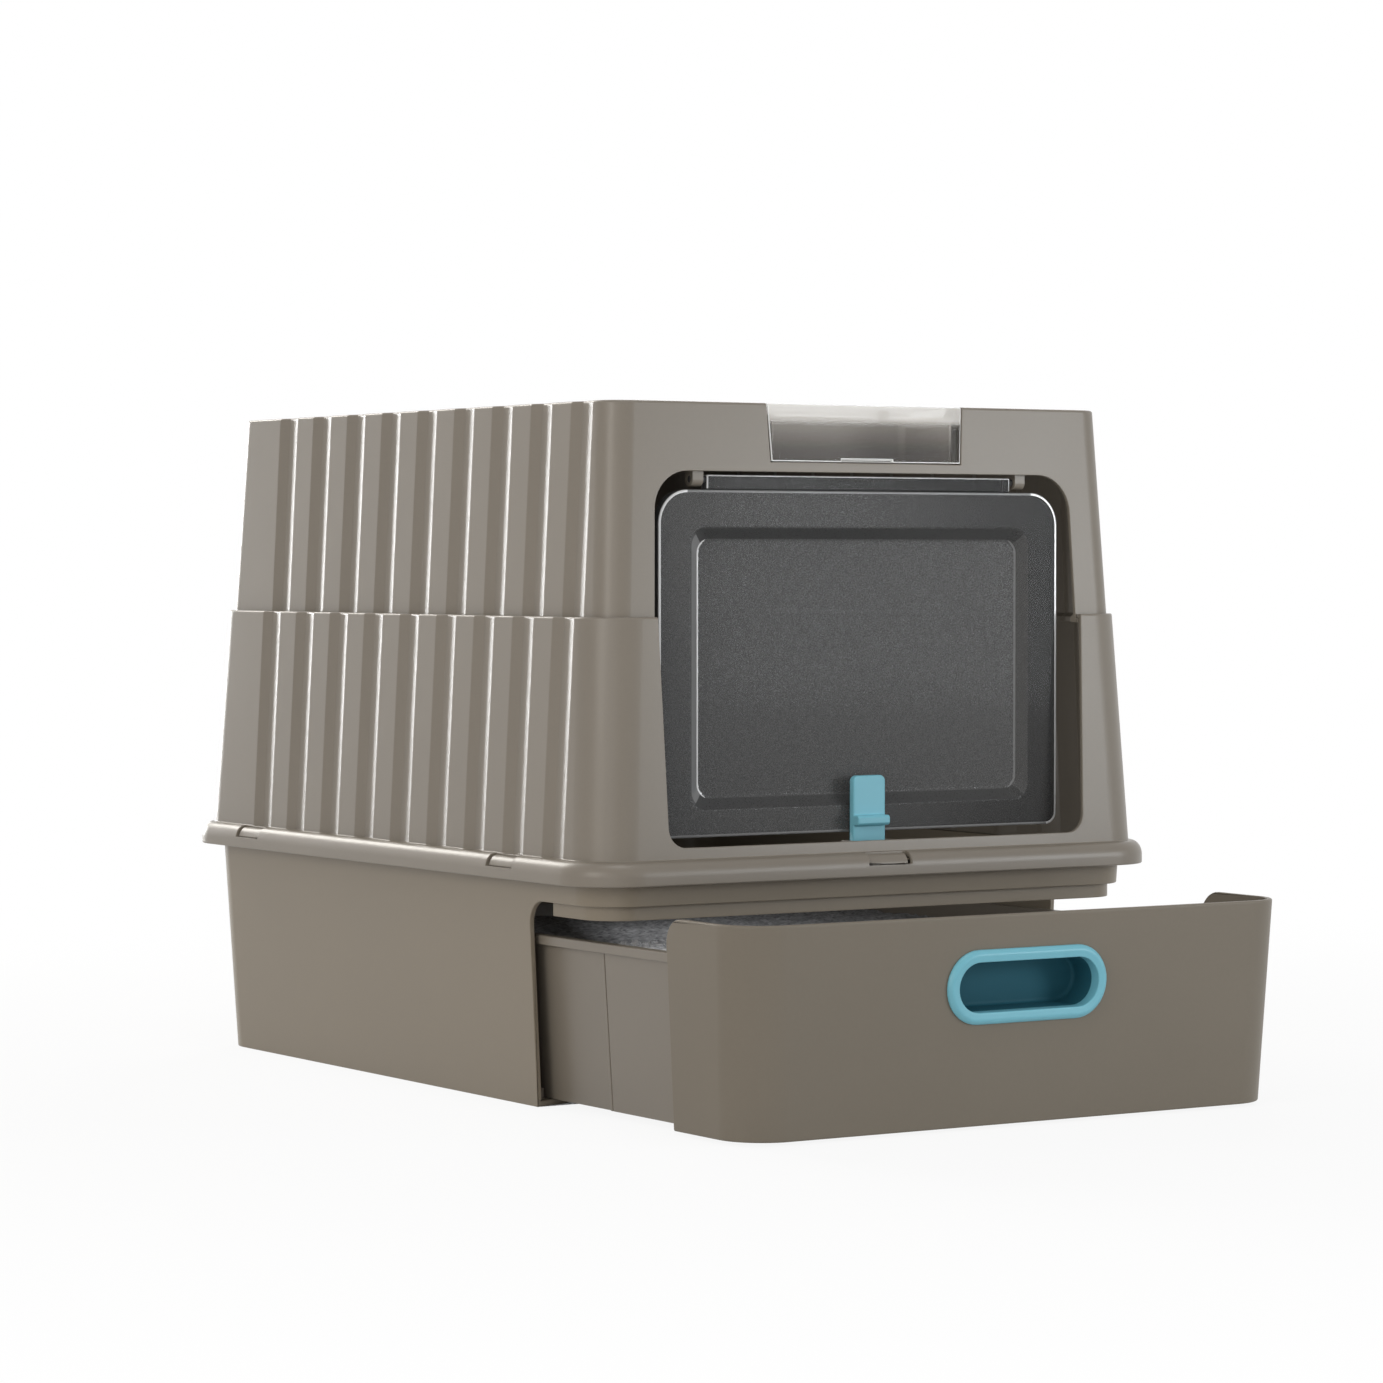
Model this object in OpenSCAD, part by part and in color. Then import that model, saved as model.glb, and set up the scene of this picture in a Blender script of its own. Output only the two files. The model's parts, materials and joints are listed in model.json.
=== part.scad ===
// Drawer litter box: an enclosed cat toilet with a two-tier hood that folds
// down, a hanging smoke-clear door, and a litter drawer that pulls out of the base.
// Millimetres. Origin at the middle of the base underside, +Z up, door side faces -Y.

/* [Base] */
// Length of the base underside, front to back
base_l = 462.8; // [455:1:475]
// Width of the base underside
base_w = 356.4; // [350:1:364]
// Height of the base walls up to the rim that carries the hood
base_h = 137.5; // [134:0.5:142]
// How far each wall leans out per millimetre of height
base_lean = 0.048; // [0.03:0.002:0.055]
// Wall of the base
base_wall = 3; // [2.4:0.1:3.4]
// Thickness of the base floor
floor_t = 3.2; // [2.6:0.1:3.8]
// Plan radius of the outer corners
corner_r = 27; // [24:1:30]
// How far the base rim stands out from its wall
rim_lip = 8.6; // [7:0.1:9.4]

/* [Drawer bay] */
// Height of the beam over the opening that the drawer fills, rim included
beam_h = 21.2; // [19:0.1:24]
// Distance from the base front to the rear end of the bay's side cut
bay_depth = 71.2; // [60:0.2:80]
// Radius of the bay's upper rear corners
bay_r = 14; // [10:1:20]
// How far the floor's front edge curves back at the middle
floor_bow = 27; // [15:1:40]
// Height of the inset lip that hangs behind the drawer's front
inset_h = 8; // [6:0.5:9]

/* [Lower hood] */
// Height of the lower hood above its flange
lower_h = 133; // [125:1:140]
// How far the lower hood's walls stand out from the top of the base's walls, at the flange
lower_out = 4; // [3:0.1:5]
// How far each lower wall leans in per millimetre of height
lower_lean = 0.054; // [0.05:0.001:0.058]
// How far the flange reaches out past the base's rim
flange_out = 3.4; // [3.3:0.1:5]
// Depth of the flange's skirt
flange_h = 13.4; // [11:0.2:14.5]
// Wall of both hoods
hood_wall = 2.4; // [2:0.1:2.6]

/* [Upper hood] */
// Height of the upper hood above the seam
upper_h = 119; // [112:1:125]
// How far each upper wall leans in per millimetre of height
upper_lean = 0.052; // [0.046:0.001:0.056]
// Plan radius of the upper hood's corners
upper_r = 16; // [12:1:17]
// Space all round between the upper hood and the lower hood's lip
tier_clear = 0.4; // [0.3:0.1:0.8]
// Distance from the lower hood's outer face in to the upper hood's outer face, at the seam
tier_step = 6.1; // [5.6:0.1:6.6]
// Space between the upper hood's foot and the lower hood's inner wall
foot_clear = 0.6; // [0.5:0.1:0.9]
// Width of the flat border round the sunk roof
roof_border = 16; // [12:1:20]
// Depth of the sunk roof
roof_sink = 6; // [4:0.5:7]

/* [Ribs] */
// Number of grooves in each side wall
rib_count = 9; // [5:1:9]
// Distance from the lower hood's rear wall to the first groove
rib_back = 74.5; // [60:0.1:80]
// Distance from one groove to the next
rib_pitch = 43.8; // [40:0.2:43.8]
// Depth of a groove
rib_depth = 3.2; // [1.5:0.1:3.2]
// Length of a groove's short front-facing slope
rib_drop = 7.5; // [5:0.5:9]
// Length of a groove's long hollow slope
rib_rise = 15.5; // [12:0.5:16]

/* [Doorway] */
// Width of the doorway at the seam
door_open_w = 290; // [280:1:292]
// Height of the sill above the lower hood's flange
sill_h = 6.4; // [6:0.2:9]
// Distance from the roof down to the top of the doorway
lintel_h = 38.5; // [37:0.5:42]
// Radius of the doorway's upper corners
lintel_r = 22; // [16:1:26]
// Radius of the doorway's lower corners
sill_r = 11; // [8:1:14]

/* [Door] */
// Space between the doorway's side and the door
door_side_gap = 7.9; // [6:0.1:11]
// Space between the hanging door and the sill
door_foot_gap = 4; // [3:0.5:6]
// Wall of the door
door_t = 2; // [1.6:0.1:2.2]
// How far the door's edge turns inward
door_edge = 5.5; // [4:0.5:6.5]
// Depth of the door's middle panel
door_dish = 4; // [2:0.5:5]
// Width of the flat frame beside and above the middle panel
door_frame = 21; // [16:1:28]
// Width of the same frame under the middle panel
door_foot_frame = 15.3; // [12:0.1:21]
// Distance from the front wall's outer face at the doorway's top back to the door's face
door_set = 4; // [3.6:0.1:5]
// Radius of the hinge pins
pin_r = 2; // [1.6:0.1:2.2]
// Radial running clearance of hinge pins
pin_clear = 0.05; // [0.03:0.01:0.09]
// Length of the hinge bar
bar_l = 208.4; // [190:0.2:212]
// Height of the hinge bar
bar_h = 8.4; // [7.6:0.2:9]
// Depth of the hinge bar
bar_d = 6; // [5:0.2:6.4]

/* [Latch] */
// Width of the latch
latch_w = 22; // [18:0.5:26]
// Thickness of the latch
latch_t = 4.4; // [3.6:0.1:4.6]
// Height of the latch above the sill
latch_rise = 36; // [32:0.5:40]
// How far the latch slides down to free the door
latch_travel = 33; // [30:0.5:34]
// How far the finger ledge stands out
latch_ledge = 5; // [4:0.1:5.4]

/* [Freshener cover] */
// Width of the cover's window at the roof
cover_w = 134; // [120:0.5:150]
// Height of the window down the front wall
cover_h = 32.8; // [30:0.2:33]
// Depth of the compartment from front to back
cover_d = 52; // [44:1:60]
// Wall of the cover
cover_t = 2; // [1.4:0.1:2.2]

/* [Drawer] */
// How far the drawer is pulled out
drawer_out = 142; // [140:0.5:144]
// Wall of the drawer's front
fascia_t = 3.2; // [2.4:0.1:3.2]
// Space between the tray's rim and the top of the bay
tray_drop = 19.9; // [18:0.1:26]
// Space between the tray's rim and the base's side walls
rim_gap = 3.8; // [3.2:0.1:6]
// Space between the tray's bottom and the base's side walls
tray_gap = 9.7; // [9:0.1:12]
// Space between the tray's bottom and the base's rear wall
tray_end_gap = 7.9; // [7:0.1:12]
// How far the tray sits back from the middle of the drawer, to clear the finger cup
tray_back = 10; // [8:0.5:11]
// Wall of the tray
tray_wall = 2.4; // [2:0.1:2.8]
// Wall of the sleeve round the tray's front
sleeve_t = 1.5; // [1.2:0.1:1.7]
// How far the sleeve reaches back from the drawer's front
sleeve_l = 153; // [120:1:180]
// How far the litter lies below the tray's rim at its walls
litter_drop = 12.2; // [10:0.1:30]
// Height of the heap above that
litter_heap = 14; // [4:1:15]

/* [Pull] */
// Width over the pull's frame
pull_w = 106.4; // [90:0.2:120]
// Height over the pull's frame
pull_h = 40.4; // [34:0.2:46]
// Width of the pull's frame
pull_frame = 6.6; // [5:0.1:8]
// Depth of the finger cup
pull_depth = 20; // [14:0.5:22]
// Distance from the top of the bay down to the pull's middle
pull_drop = 39; // [32:0.5:46]
// Wall of the finger cup
pull_wall = 2; // [1.6:0.1:2.4]

/* [Hidden] */
$fn = 48;
far = 900;

body_colour = [0.46, 0.43, 0.39];
blue_colour = [0.20, 0.48, 0.58];
smoke_colour = [0.25, 0.25, 0.26, 0.7];
clear_colour = [0.85, 0.87, 0.88, 0.5];
steel_colour = [0.62, 0.63, 0.65];
litter_colour = [0.42, 0.42, 0.44];

corner_steps = 8;
round_steps = 8;

// Fits between neighbours
seat_clear = 0.2;
slide_clear = 0.3;

// Levels
bay_h = base_h - beam_h;
flange_top = base_h + 4;
flange_low = flange_top - flange_h;
skirt_t = 3;
seam_z = flange_top + lower_h;
roof_z = seam_z + upper_h;
sunk_z = roof_z - roof_sink;
sill_z = flange_top + sill_h;
lintel_z = roof_z - lintel_h;
tier_foot_z = seam_z - 5;
lip_t = 2.2;

// Half sizes of the tapered walls at a height: across (x) and along (y)
flange_x = base_w / 2 + base_lean * base_h + rim_lip + flange_out;
flange_y = base_l / 2 + base_lean * base_h + rim_lip + flange_out;
function base_x(z) = base_w / 2 + base_lean * z;
function base_y(z) = base_l / 2 + base_lean * z;
function lower_x(z) = base_x(base_h) + lower_out - lower_lean * (z - flange_top);
function lower_y(z) = base_y(base_h) + lower_out - lower_lean * (z - flange_top);
function upper_x(z) = lower_x(seam_z) - tier_step - upper_lean * (z - seam_z);
function upper_y(z) = lower_y(seam_z) - tier_step + 1.5 - upper_lean * (z - seam_z);

// Tray of the drawer, sized to run inside the base
tray_low_z = floor_t + slide_clear;
tray_h = bay_h - tray_drop;
rim_h = 5.4;
rim_out = 4.4;
tray_half_w = base_x(0) - base_wall - tray_gap;
tray_half_l = base_y(0) - base_wall - tray_end_gap - tray_back;
rim_half_w = base_x(tray_h) - base_wall - rim_gap;
tray_lean = (rim_half_w - rim_out - tray_half_w) / (tray_h - tray_low_z);
function tray_x(z) = tray_half_w + tray_lean * (z - tray_low_z);
function tray_y(z) = tray_half_l + tray_lean * (z - tray_low_z);

// ---- Outlines and lofts ----

// A quarter turn of points about a corner's centre
function quarter(cx, cy, r, start) =
    [for (i = [0:corner_steps]) [cx + r * cos(start + 90 * i / corner_steps),
                                 cy + r * sin(start + 90 * i / corner_steps)]];

// Grooves along a side wall as [y, depth], from the front groove to the rear one
rib_first_y = lower_y(flange_top) - rib_back;
function groove(y0) = concat(
    [for (i = [4:-1:1]) [y0 - rib_drop - rib_rise * i / 4, rib_depth * (1 - pow(i / 4, 2))]],
    [[y0 - rib_drop, rib_depth], [y0, 0]]);
rib_walk = [for (k = [rib_count - 1:-1:0]) each groove(rib_first_y - rib_pitch * k)];
rib_walk_back = [for (i = [len(rib_walk) - 1:-1:0]) rib_walk[i]];

// Rounded rectangle, anticlockwise from above; ribs scales the grooves in its two sides.
// A side too short for the grooves draws their points together.
rib_reach = max(rib_first_y, rib_drop + rib_rise + rib_pitch * (rib_count - 1) - rib_first_y);
function outline(hx, hy, r, ribs = 0) = let (k = min(1, (hy - r - 0.5) / rib_reach)) concat(
    quarter(hx - r, -hy + r, r, -90),
    [for (p = rib_walk) [hx - ribs * p[1], k * p[0]]],
    quarter(hx - r, hy - r, r, 0),
    quarter(-hx + r, hy - r, r, 90),
    [for (p = rib_walk_back) [-hx + ribs * p[1], k * p[0]]],
    quarter(-hx + r, -hy + r, r, 180));

// The same without the side points, for plain walls
function plain_outline(hx, hy, r) = concat(
    quarter(hx - r, -hy + r, r, -90), quarter(hx - r, hy - r, r, 0),
    quarter(-hx + r, hy - r, r, 90), quarter(-hx + r, -hy + r, r, 180));

// A level of a ribbed wall: [height, half width, half length, corner radius, rib share]
function ribbed_rings(levels) =
    [for (v = levels) [for (p = outline(v[1], v[2], v[3], v[4])) [p[0], p[1], v[0]]]];
function plain_rings(levels) =
    [for (v = levels) [for (p = plain_outline(v[1], v[2], v[3])) [p[0], p[1], v[0]]]];

// Skin stretched over a stack of rings, ending in two caps, or closed on itself as a loop
module skin(rings, loop = false) {
    n = len(rings[0]);
    m = len(rings);
    points = [for (r = rings) each r];
    sides = [for (j = [0:(loop ? m - 1 : m - 2)], i = [0:n - 1])
        [j * n + i, ((j + 1) % m) * n + i, ((j + 1) % m) * n + (i + 1) % n, j * n + (i + 1) % n]];
    caps = loop ? [] : [[for (i = [0:n - 1]) i], [for (i = [n - 1:-1:0]) (m - 1) * n + i]];
    polyhedron(points = points, faces = concat(sides, caps), convexity = 10);
}

// Extrude an outline drawn as [x, z] along Y, from the front face back
module along_y(front, depth) {
    translate([0, front + depth, 0]) rotate([90, 0, 0]) linear_extrude(depth) children();
}

// Extrude an outline drawn as [y, z] across X
module along_x(left, width) {
    translate([left, 0, 0]) rotate([90, 0, 90]) linear_extrude(width) children();
}

// Symmetric outline [x, z] with its own half widths and corner radii at bottom and top
function panel_outline(low_x, low_z, low_r, high_x, high_z, high_r) = concat(
    quarter(low_x - low_r, low_z + low_r, low_r, -90),
    quarter(high_x - high_r, high_z - high_r, high_r, 0),
    quarter(-high_x + high_r, high_z - high_r, high_r, 90),
    quarter(-low_x + low_r, low_z + low_r, low_r, 180));

module box(lo, hi) {
    translate(lo) cube([hi[0] - lo[0], hi[1] - lo[1], hi[2] - lo[2]]);
}

// Slot shape with round ends, w wide and h high
module stadium(w, h) {
    square([w - h, h], center = true);
    for (s = [-1, 1]) translate([s * (w - h) / 2, 0]) circle(h / 2);
}

module left_and_right() {
    children();
    mirror([1, 0, 0]) children();
}

// ---- Base ----
bay_back_y = -base_y(0) + bay_depth;
beam_in = base_wall + 2.2;
beam_t = 2.4;
bay_end_y = bay_back_y - bay_r - 4;
rail_gap = 0.8;
rail_t = 2.5;
rail_h = 6;
rail_x = tray_x(tray_low_z) + sleeve_t + seat_clear + base_lean * rail_h + rail_gap;

module base_cup() {
    skin(plain_rings([
        [0, base_x(0) - 2.4, base_y(0) - 2.4, corner_r - 2.4],
        [0.8, base_x(0.8) - 0.7, base_y(0.8) - 0.7, corner_r - 0.7],
        [2.6, base_x(2.6), base_y(2.6), corner_r],
        [base_h - 3, base_x(base_h - 3), base_y(base_h - 3), corner_r],
        [base_h - 3, base_x(base_h) + rim_lip, base_y(base_h) + rim_lip, corner_r + rim_lip],
        [base_h, base_x(base_h) + rim_lip, base_y(base_h) + rim_lip, corner_r + rim_lip],
        [base_h, base_x(base_h) - base_wall, base_y(base_h) - base_wall, corner_r - base_wall],
        [floor_t, base_x(floor_t) - base_wall, base_y(floor_t) - base_wall, corner_r - base_wall]]));
}

// Side view of the space that the drawer's front closes
module bay_profile() {
    difference() {
        polygon([[-far, -1], [bay_back_y, -1], [bay_back_y, bay_h], [-far, bay_h]]);
        translate([bay_back_y - bay_r, bay_h - bay_r]) difference() {
            square(bay_r + 1);
            circle(bay_r);
        }
    }
}

// The floor's front edge, hollow towards the back
module floor_bow_cut() {
    chord = base_x(0);
    bow_r = (chord * chord + floor_bow * floor_bow) / (2 * floor_bow);
    translate([0, bay_back_y + floor_bow - bow_r, -1]) cylinder(r = bow_r, h = floor_t + 2, $fn = 180);
}

module frame_ring(hx, hy, r, t) {
    difference() {
        polygon(plain_outline(hx, hy, r));
        polygon(plain_outline(hx - t, hy - t, r - t));
    }
}

// Lip inside the beam over the bay, which the drawer's front closes against
module inset_lip() {
    lip_x = base_x(bay_h) - beam_in;
    lip_y = base_y(bay_h) - beam_in;
    intersection() {
        union() {
            translate([0, 0, bay_h - inset_h]) linear_extrude(inset_h + 3)
                frame_ring(lip_x, lip_y, corner_r - beam_in, beam_t);
            translate([0, 0, bay_h]) linear_extrude(3)
                frame_ring(lip_x + beam_in - 1, lip_y + beam_in - 1, corner_r - 1, beam_in);
        }
        box([-far, -far, 0], [far, bay_end_y, far]);
    }
}

module base_shell() {
    color(body_colour) {
        difference() {
            base_cup();
            along_x(-far / 2, far) bay_profile();
            floor_bow_cut();
        }
        inset_lip();
        left_and_right() box([rail_x, bay_back_y + 10, floor_t - 1],
            [rail_x + rail_t, base_y(0) - 16, floor_t + rail_h]);
    }
}

// ---- Lower hood ----
catch_l = 27;
catch_gap = 1;
catch_back = 7.6;
catch_low = flange_top - 6.4;
catch_side_y = [93.5 - lower_y(flange_top), lower_y(flange_top) - 80];
lip_in_x = upper_x(seam_z) + tier_clear;
lip_in_y = upper_y(seam_z) + tier_clear;
keeper_ear_x = 20;
keeper_ear_z = sill_z - 3.4;
screw_r = 1.2;
screw_depth = 1.8;

module lower_wall() {
    fx = flange_x;
    fy = flange_y;
    fr = corner_r + 8;
    skin(ribbed_rings([
        [flange_low, fx - 0.5, fy - 0.5, fr, 0],
        [flange_low + 0.6, fx, fy, fr, 0],
        [flange_top - 6, fx, fy, fr, 0],
        [flange_top - 3.2, fx - 0.8, fy - 0.8, fr - 0.8, 0],
        [flange_top - 1.2, fx - 2.6, fy - 2.6, fr - 2.6, 0],
        [flange_top, fx - 5.6, fy - 5.6, fr - 5, 0],
        [flange_top, lower_x(flange_top), lower_y(flange_top), corner_r, 1],
        [seam_z - 3.6, lower_x(seam_z - 3.6), lower_y(seam_z - 3.6), corner_r, 1],
        [seam_z - 1.2, lower_x(seam_z) - 0.7, lower_y(seam_z) - 0.7, corner_r - 0.7, 1],
        [seam_z, lower_x(seam_z) - 2.8, lower_y(seam_z) - 2.8, corner_r - 2.8, 1],
        [seam_z, lip_in_x, lip_in_y, upper_r + tier_clear, 1],
        [seam_z - lip_t, lip_in_x, lip_in_y, upper_r + tier_clear, 1],
        [seam_z - lip_t, lower_x(seam_z - lip_t) - hood_wall, lower_y(seam_z - lip_t) - hood_wall,
            corner_r - hood_wall, 1],
        [flange_top, lower_x(flange_top) - hood_wall, lower_y(flange_top) - hood_wall,
            corner_r - hood_wall, 1],
        [base_h + seat_clear, lower_x(flange_top) - hood_wall - rib_depth,
            lower_y(flange_top) - hood_wall, corner_r - hood_wall, 0],
        [base_h + seat_clear, fx - skirt_t, fy - skirt_t, fr - skirt_t, 0],
        [flange_low, fx - skirt_t, fy - skirt_t, fr - skirt_t, 0]]), loop = true);
}

// Half widths of the doorway: it narrows a little from the seam to the sill and to the roof
sill_half = door_open_w / 2 - 2.8;
lintel_half = door_open_w / 2 - 2.4;

module sill_cut() {
    along_y(-far / 2, far / 2 - base_l / 4) polygon(panel_outline(sill_half, sill_z, sill_r,
        door_open_w / 2 + 0.6, seam_z + 20, 2));
}

// One notch in the flange, cut from its outer top edge, its middle at the origin, facing +X
module catch_notch() {
    box([-catch_back, -catch_l / 2 - catch_gap, catch_low - 0.6],
        [5, catch_l / 2 + catch_gap, flange_top + 1]);
}

// Places a copy at each of the flange's catches: facing is the outward direction
module at_catch(facing) {
    if (facing == "left_front") translate([-flange_x, catch_side_y[0], 0]) rotate(180) children();
    if (facing == "left_rear") translate([-flange_x, catch_side_y[1], 0]) rotate(180) children();
    if (facing == "right_front") translate([flange_x, catch_side_y[0], 0]) children();
    if (facing == "right_rear") translate([flange_x, catch_side_y[1], 0]) children();
    if (facing == "front") translate([0, -flange_y, 0]) rotate(-90) children();
    if (facing == "rear") translate([0, flange_y, 0]) rotate(90) children();
}
catch_places = ["left_front", "left_rear", "right_front", "right_rear", "front", "rear"];

module lower_hood() {
    wall_in_y = -lower_y(keeper_ear_z) + hood_wall;
    color(body_colour) difference() {
        lower_wall();
        sill_cut();
        for (place = catch_places) at_catch(place) catch_notch();
        left_and_right() translate([keeper_ear_x, wall_in_y + 1, keeper_ear_z]) rotate([90, 0, 0])
            cylinder(r = screw_r, h = screw_depth + 1);
    }
}

// A catch that hooks over the edge of the base rim and fills its notch in the flange
module rim_catch(place) {
    lip_out = flange_out;
    color(body_colour) at_catch(place) rotate([90, 0, 0])
        translate([0, 0, -catch_l / 2]) linear_extrude(catch_l) difference() {
            polygon(concat(
                [[-catch_back + 0.4, base_h + seat_clear], [-lip_out + seat_clear, base_h + seat_clear],
                 [-lip_out + seat_clear, catch_low], [-0.5, catch_low]],
                [for (i = [0:round_steps]) [-0.5 - 4 * (1 - cos(90 * i / round_steps)),
                                            flange_top - 4.6 + 4 * sin(90 * i / round_steps)]],
                [[-catch_back + 0.4, flange_top - 0.6]]));
        }
}

// ---- Latch and its keeper ----
latch_front_y = -upper_y(lintel_z) + door_set - 6.4;
latch_back_y = latch_front_y + latch_t;
latch_top_z = sill_z + latch_rise;
latch_low_z = sill_z - 14;
foot_h = 11.7;
foot_x = latch_w / 2 + 2.2;
foot_t = 2.2;
cheek_t = 4.4;
keeper_low_z = latch_low_z - latch_travel + 9;
keeper_step_z = bay_h + 3.5;
keeper_top_z = sill_z - 0.6;
keeper_half = latch_w / 2 + slide_clear + cheek_t;
keeper_back_y = latch_back_y + slide_clear + 1.3;
keeper_front_y = -base_y(base_h) + base_wall + 1.6;
ledge_z = latch_top_z - 22.5;
ledge_t = 5.6;

module latch_keeper() {
    wall_in_y = -lower_y(keeper_ear_z) + hood_wall;
    ear_z0 = base_h + 2 * seat_clear;
    color(body_colour) difference() {
        union() {
            box([-keeper_half, keeper_front_y, keeper_step_z], [keeper_half, keeper_back_y, keeper_top_z]);
            box([-keeper_half, latch_front_y - slide_clear, keeper_low_z],
                [keeper_half, keeper_back_y, keeper_top_z]);
            box([-keeper_ear_x - 4, wall_in_y + seat_clear, ear_z0 + 0.4],
                [keeper_ear_x + 4, keeper_front_y + 1.5, keeper_top_z]);
        }
        // channel for the blade and its ledge, open at the front above the cross bar
        box([-latch_w / 2 - slide_clear, wall_in_y - 1, keeper_step_z + 2],
            [latch_w / 2 + slide_clear, latch_back_y + slide_clear, keeper_top_z + 1]);
        box([-latch_w / 2 - slide_clear, latch_front_y - slide_clear, keeper_low_z - 1],
            [latch_w / 2 + slide_clear, latch_back_y + slide_clear, keeper_top_z + 1]);
        // grooves for the foot's two wings
        box([-foot_x - slide_clear, latch_back_y - foot_t - slide_clear, keeper_low_z - 1],
            [foot_x + slide_clear, latch_back_y + slide_clear, keeper_top_z - 1.4]);
        left_and_right() translate([keeper_ear_x, keeper_front_y + 5, keeper_ear_z]) rotate([90, 0, 0])
            cylinder(r = screw_r, h = 20);
    }
}

module keeper_screw(side) {
    wall_in_y = -lower_y(keeper_ear_z) + hood_wall;
    head_y = keeper_front_y + 1.5;
    color(steel_colour) translate([side * keeper_ear_x, 0, keeper_ear_z]) {
        translate([0, head_y, 0]) rotate([90, 0, 0])
            cylinder(r = screw_r, h = head_y - wall_in_y + screw_depth - 0.1);
        difference() {
            translate([0, head_y + 1.4, 0]) rotate([90, 0, 0]) cylinder(r = 2.4, h = 1.4);
            for (turn = [0, 90]) rotate([0, turn, 0])
                box([-1.6, head_y + 0.7, -0.35], [1.6, head_y + 2, 0.35]);
        }
    }
}

module door_latch() {
    r = 3.4;
    color(blue_colour) {
        along_y(latch_front_y, latch_t) {
            polygon(panel_outline(latch_w / 2, latch_low_z, 0.6, latch_w / 2, latch_top_z, r));
        }
        along_x(-latch_w / 2, latch_w) polygon([
            [latch_front_y + 1, ledge_z - ledge_t], [latch_front_y + 1, ledge_z],
            [latch_front_y - latch_ledge + 1.2, ledge_z], [latch_front_y - latch_ledge + 0.3, ledge_z - 0.5],
            [latch_front_y - latch_ledge, ledge_z - 1.4],
            [latch_front_y - latch_ledge, ledge_z - ledge_t + 1.4],
            [latch_front_y - latch_ledge + 0.3, ledge_z - ledge_t + 0.5],
            [latch_front_y - latch_ledge + 1.2, ledge_z - ledge_t]]);
        box([-foot_x, latch_back_y - foot_t, latch_low_z],
            [foot_x, latch_back_y, latch_low_z + foot_h]);
    }
}

// ---- Upper hood ----
door_face_y = -upper_y(lintel_z) + door_set;
axis_y = door_face_y + 4.8;
axis_z = lintel_z - 4.4;
lug_r = pin_r + 2;
lug_gap = 3.1;
lug_t = 7;
lug_x = bar_l / 2 + lug_gap;
cover_half_low = cover_w / 2 - 1.9;
cover_low_z = roof_z - cover_h;
cover_back_y = -upper_y(roof_z) + cover_d;
cover_pin_r = 1.25;
cover_ear_r = cover_pin_r + 1.3;
cover_axis_y = cover_back_y + 4.6;
cover_axis_z = sunk_z + 3.3;
cover_ear_x = 49;
cover_ear_t = 5;
edge_r = 4.2;
catch_flange = 3;

module upper_wall() {
    foot_x_in = upper_x(tier_foot_z) - hood_wall;
    foot_y_in = upper_y(tier_foot_z) - hood_wall;
    foot_x_out = lower_x(tier_foot_z) - hood_wall - foot_clear;
    foot_y_out = lower_y(tier_foot_z) - hood_wall - foot_clear;
    foot_r = corner_r - hood_wall - foot_clear;
    border_x = upper_x(roof_z) - roof_border;
    border_y = upper_y(roof_z) - roof_border;
    cr = upper_r;
    skin(ribbed_rings([
        [sunk_z - hood_wall, border_x - 4, border_y - 4, cr, 0],
        [sunk_z - hood_wall, border_x - 1.5, border_y - 1.5, cr, 0],
        [roof_z - hood_wall, border_x, border_y, cr, 0],
        [roof_z - hood_wall, upper_x(roof_z) - 4.2, upper_y(roof_z) - 4.2, cr - 4.2, 0.4],
        [roof_z - edge_r, upper_x(roof_z - edge_r) - hood_wall, upper_y(roof_z - edge_r) - hood_wall,
            cr - hood_wall, 1],
        [seam_z, upper_x(seam_z) - hood_wall, upper_y(seam_z) - hood_wall, cr - hood_wall, 1],
        [seam_z - 1, foot_x_in - catch_flange, foot_y_in - catch_flange, cr - 4, 1],
        [tier_foot_z, foot_x_in - catch_flange, foot_y_in - catch_flange, cr - 4, 1],
        [tier_foot_z, foot_x_out, foot_y_out, foot_r, 1],
        [seam_z - lip_t - slide_clear, foot_x_out, foot_y_out, foot_r, 1],
        [seam_z - lip_t - slide_clear, upper_x(seam_z - lip_t), upper_y(seam_z - lip_t), cr, 1],
        [roof_z - edge_r, upper_x(roof_z - edge_r), upper_y(roof_z - edge_r), cr, 1],
        [roof_z - 1.5, upper_x(roof_z) - 0.9, upper_y(roof_z) - 0.9, cr - 0.9, 1],
        [roof_z, upper_x(roof_z) - 3.4, upper_y(roof_z) - 3.4, cr - 3.2, 0.7],
        [roof_z, border_x, border_y, cr, 0],
        [roof_z - 1.2, border_x - 1.8, border_y - 1.8, cr, 0],
        [sunk_z + 1.2, border_x - 3, border_y - 3, cr, 0],
        [sunk_z, border_x - 5, border_y - 5, cr, 0]]));
}

module lintel_cut() {
    along_y(-far / 2, far / 2 + door_face_y - 0.8) polygon(panel_outline(door_open_w / 2, tier_foot_z - 10, 2,
        lintel_half, lintel_z, lintel_r));
}

// Front view of the cover's window, grown by extra all round
function window_outline(extra) = [
    [cover_half_low + extra, cover_low_z - extra],
    [cover_w / 2 + extra, roof_z],
    [cover_w / 2 + extra, roof_z + 9], [-cover_w / 2 - extra, roof_z + 9],
    [-cover_w / 2 - extra, roof_z],
    [-cover_half_low - extra, cover_low_z - extra]];

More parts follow.
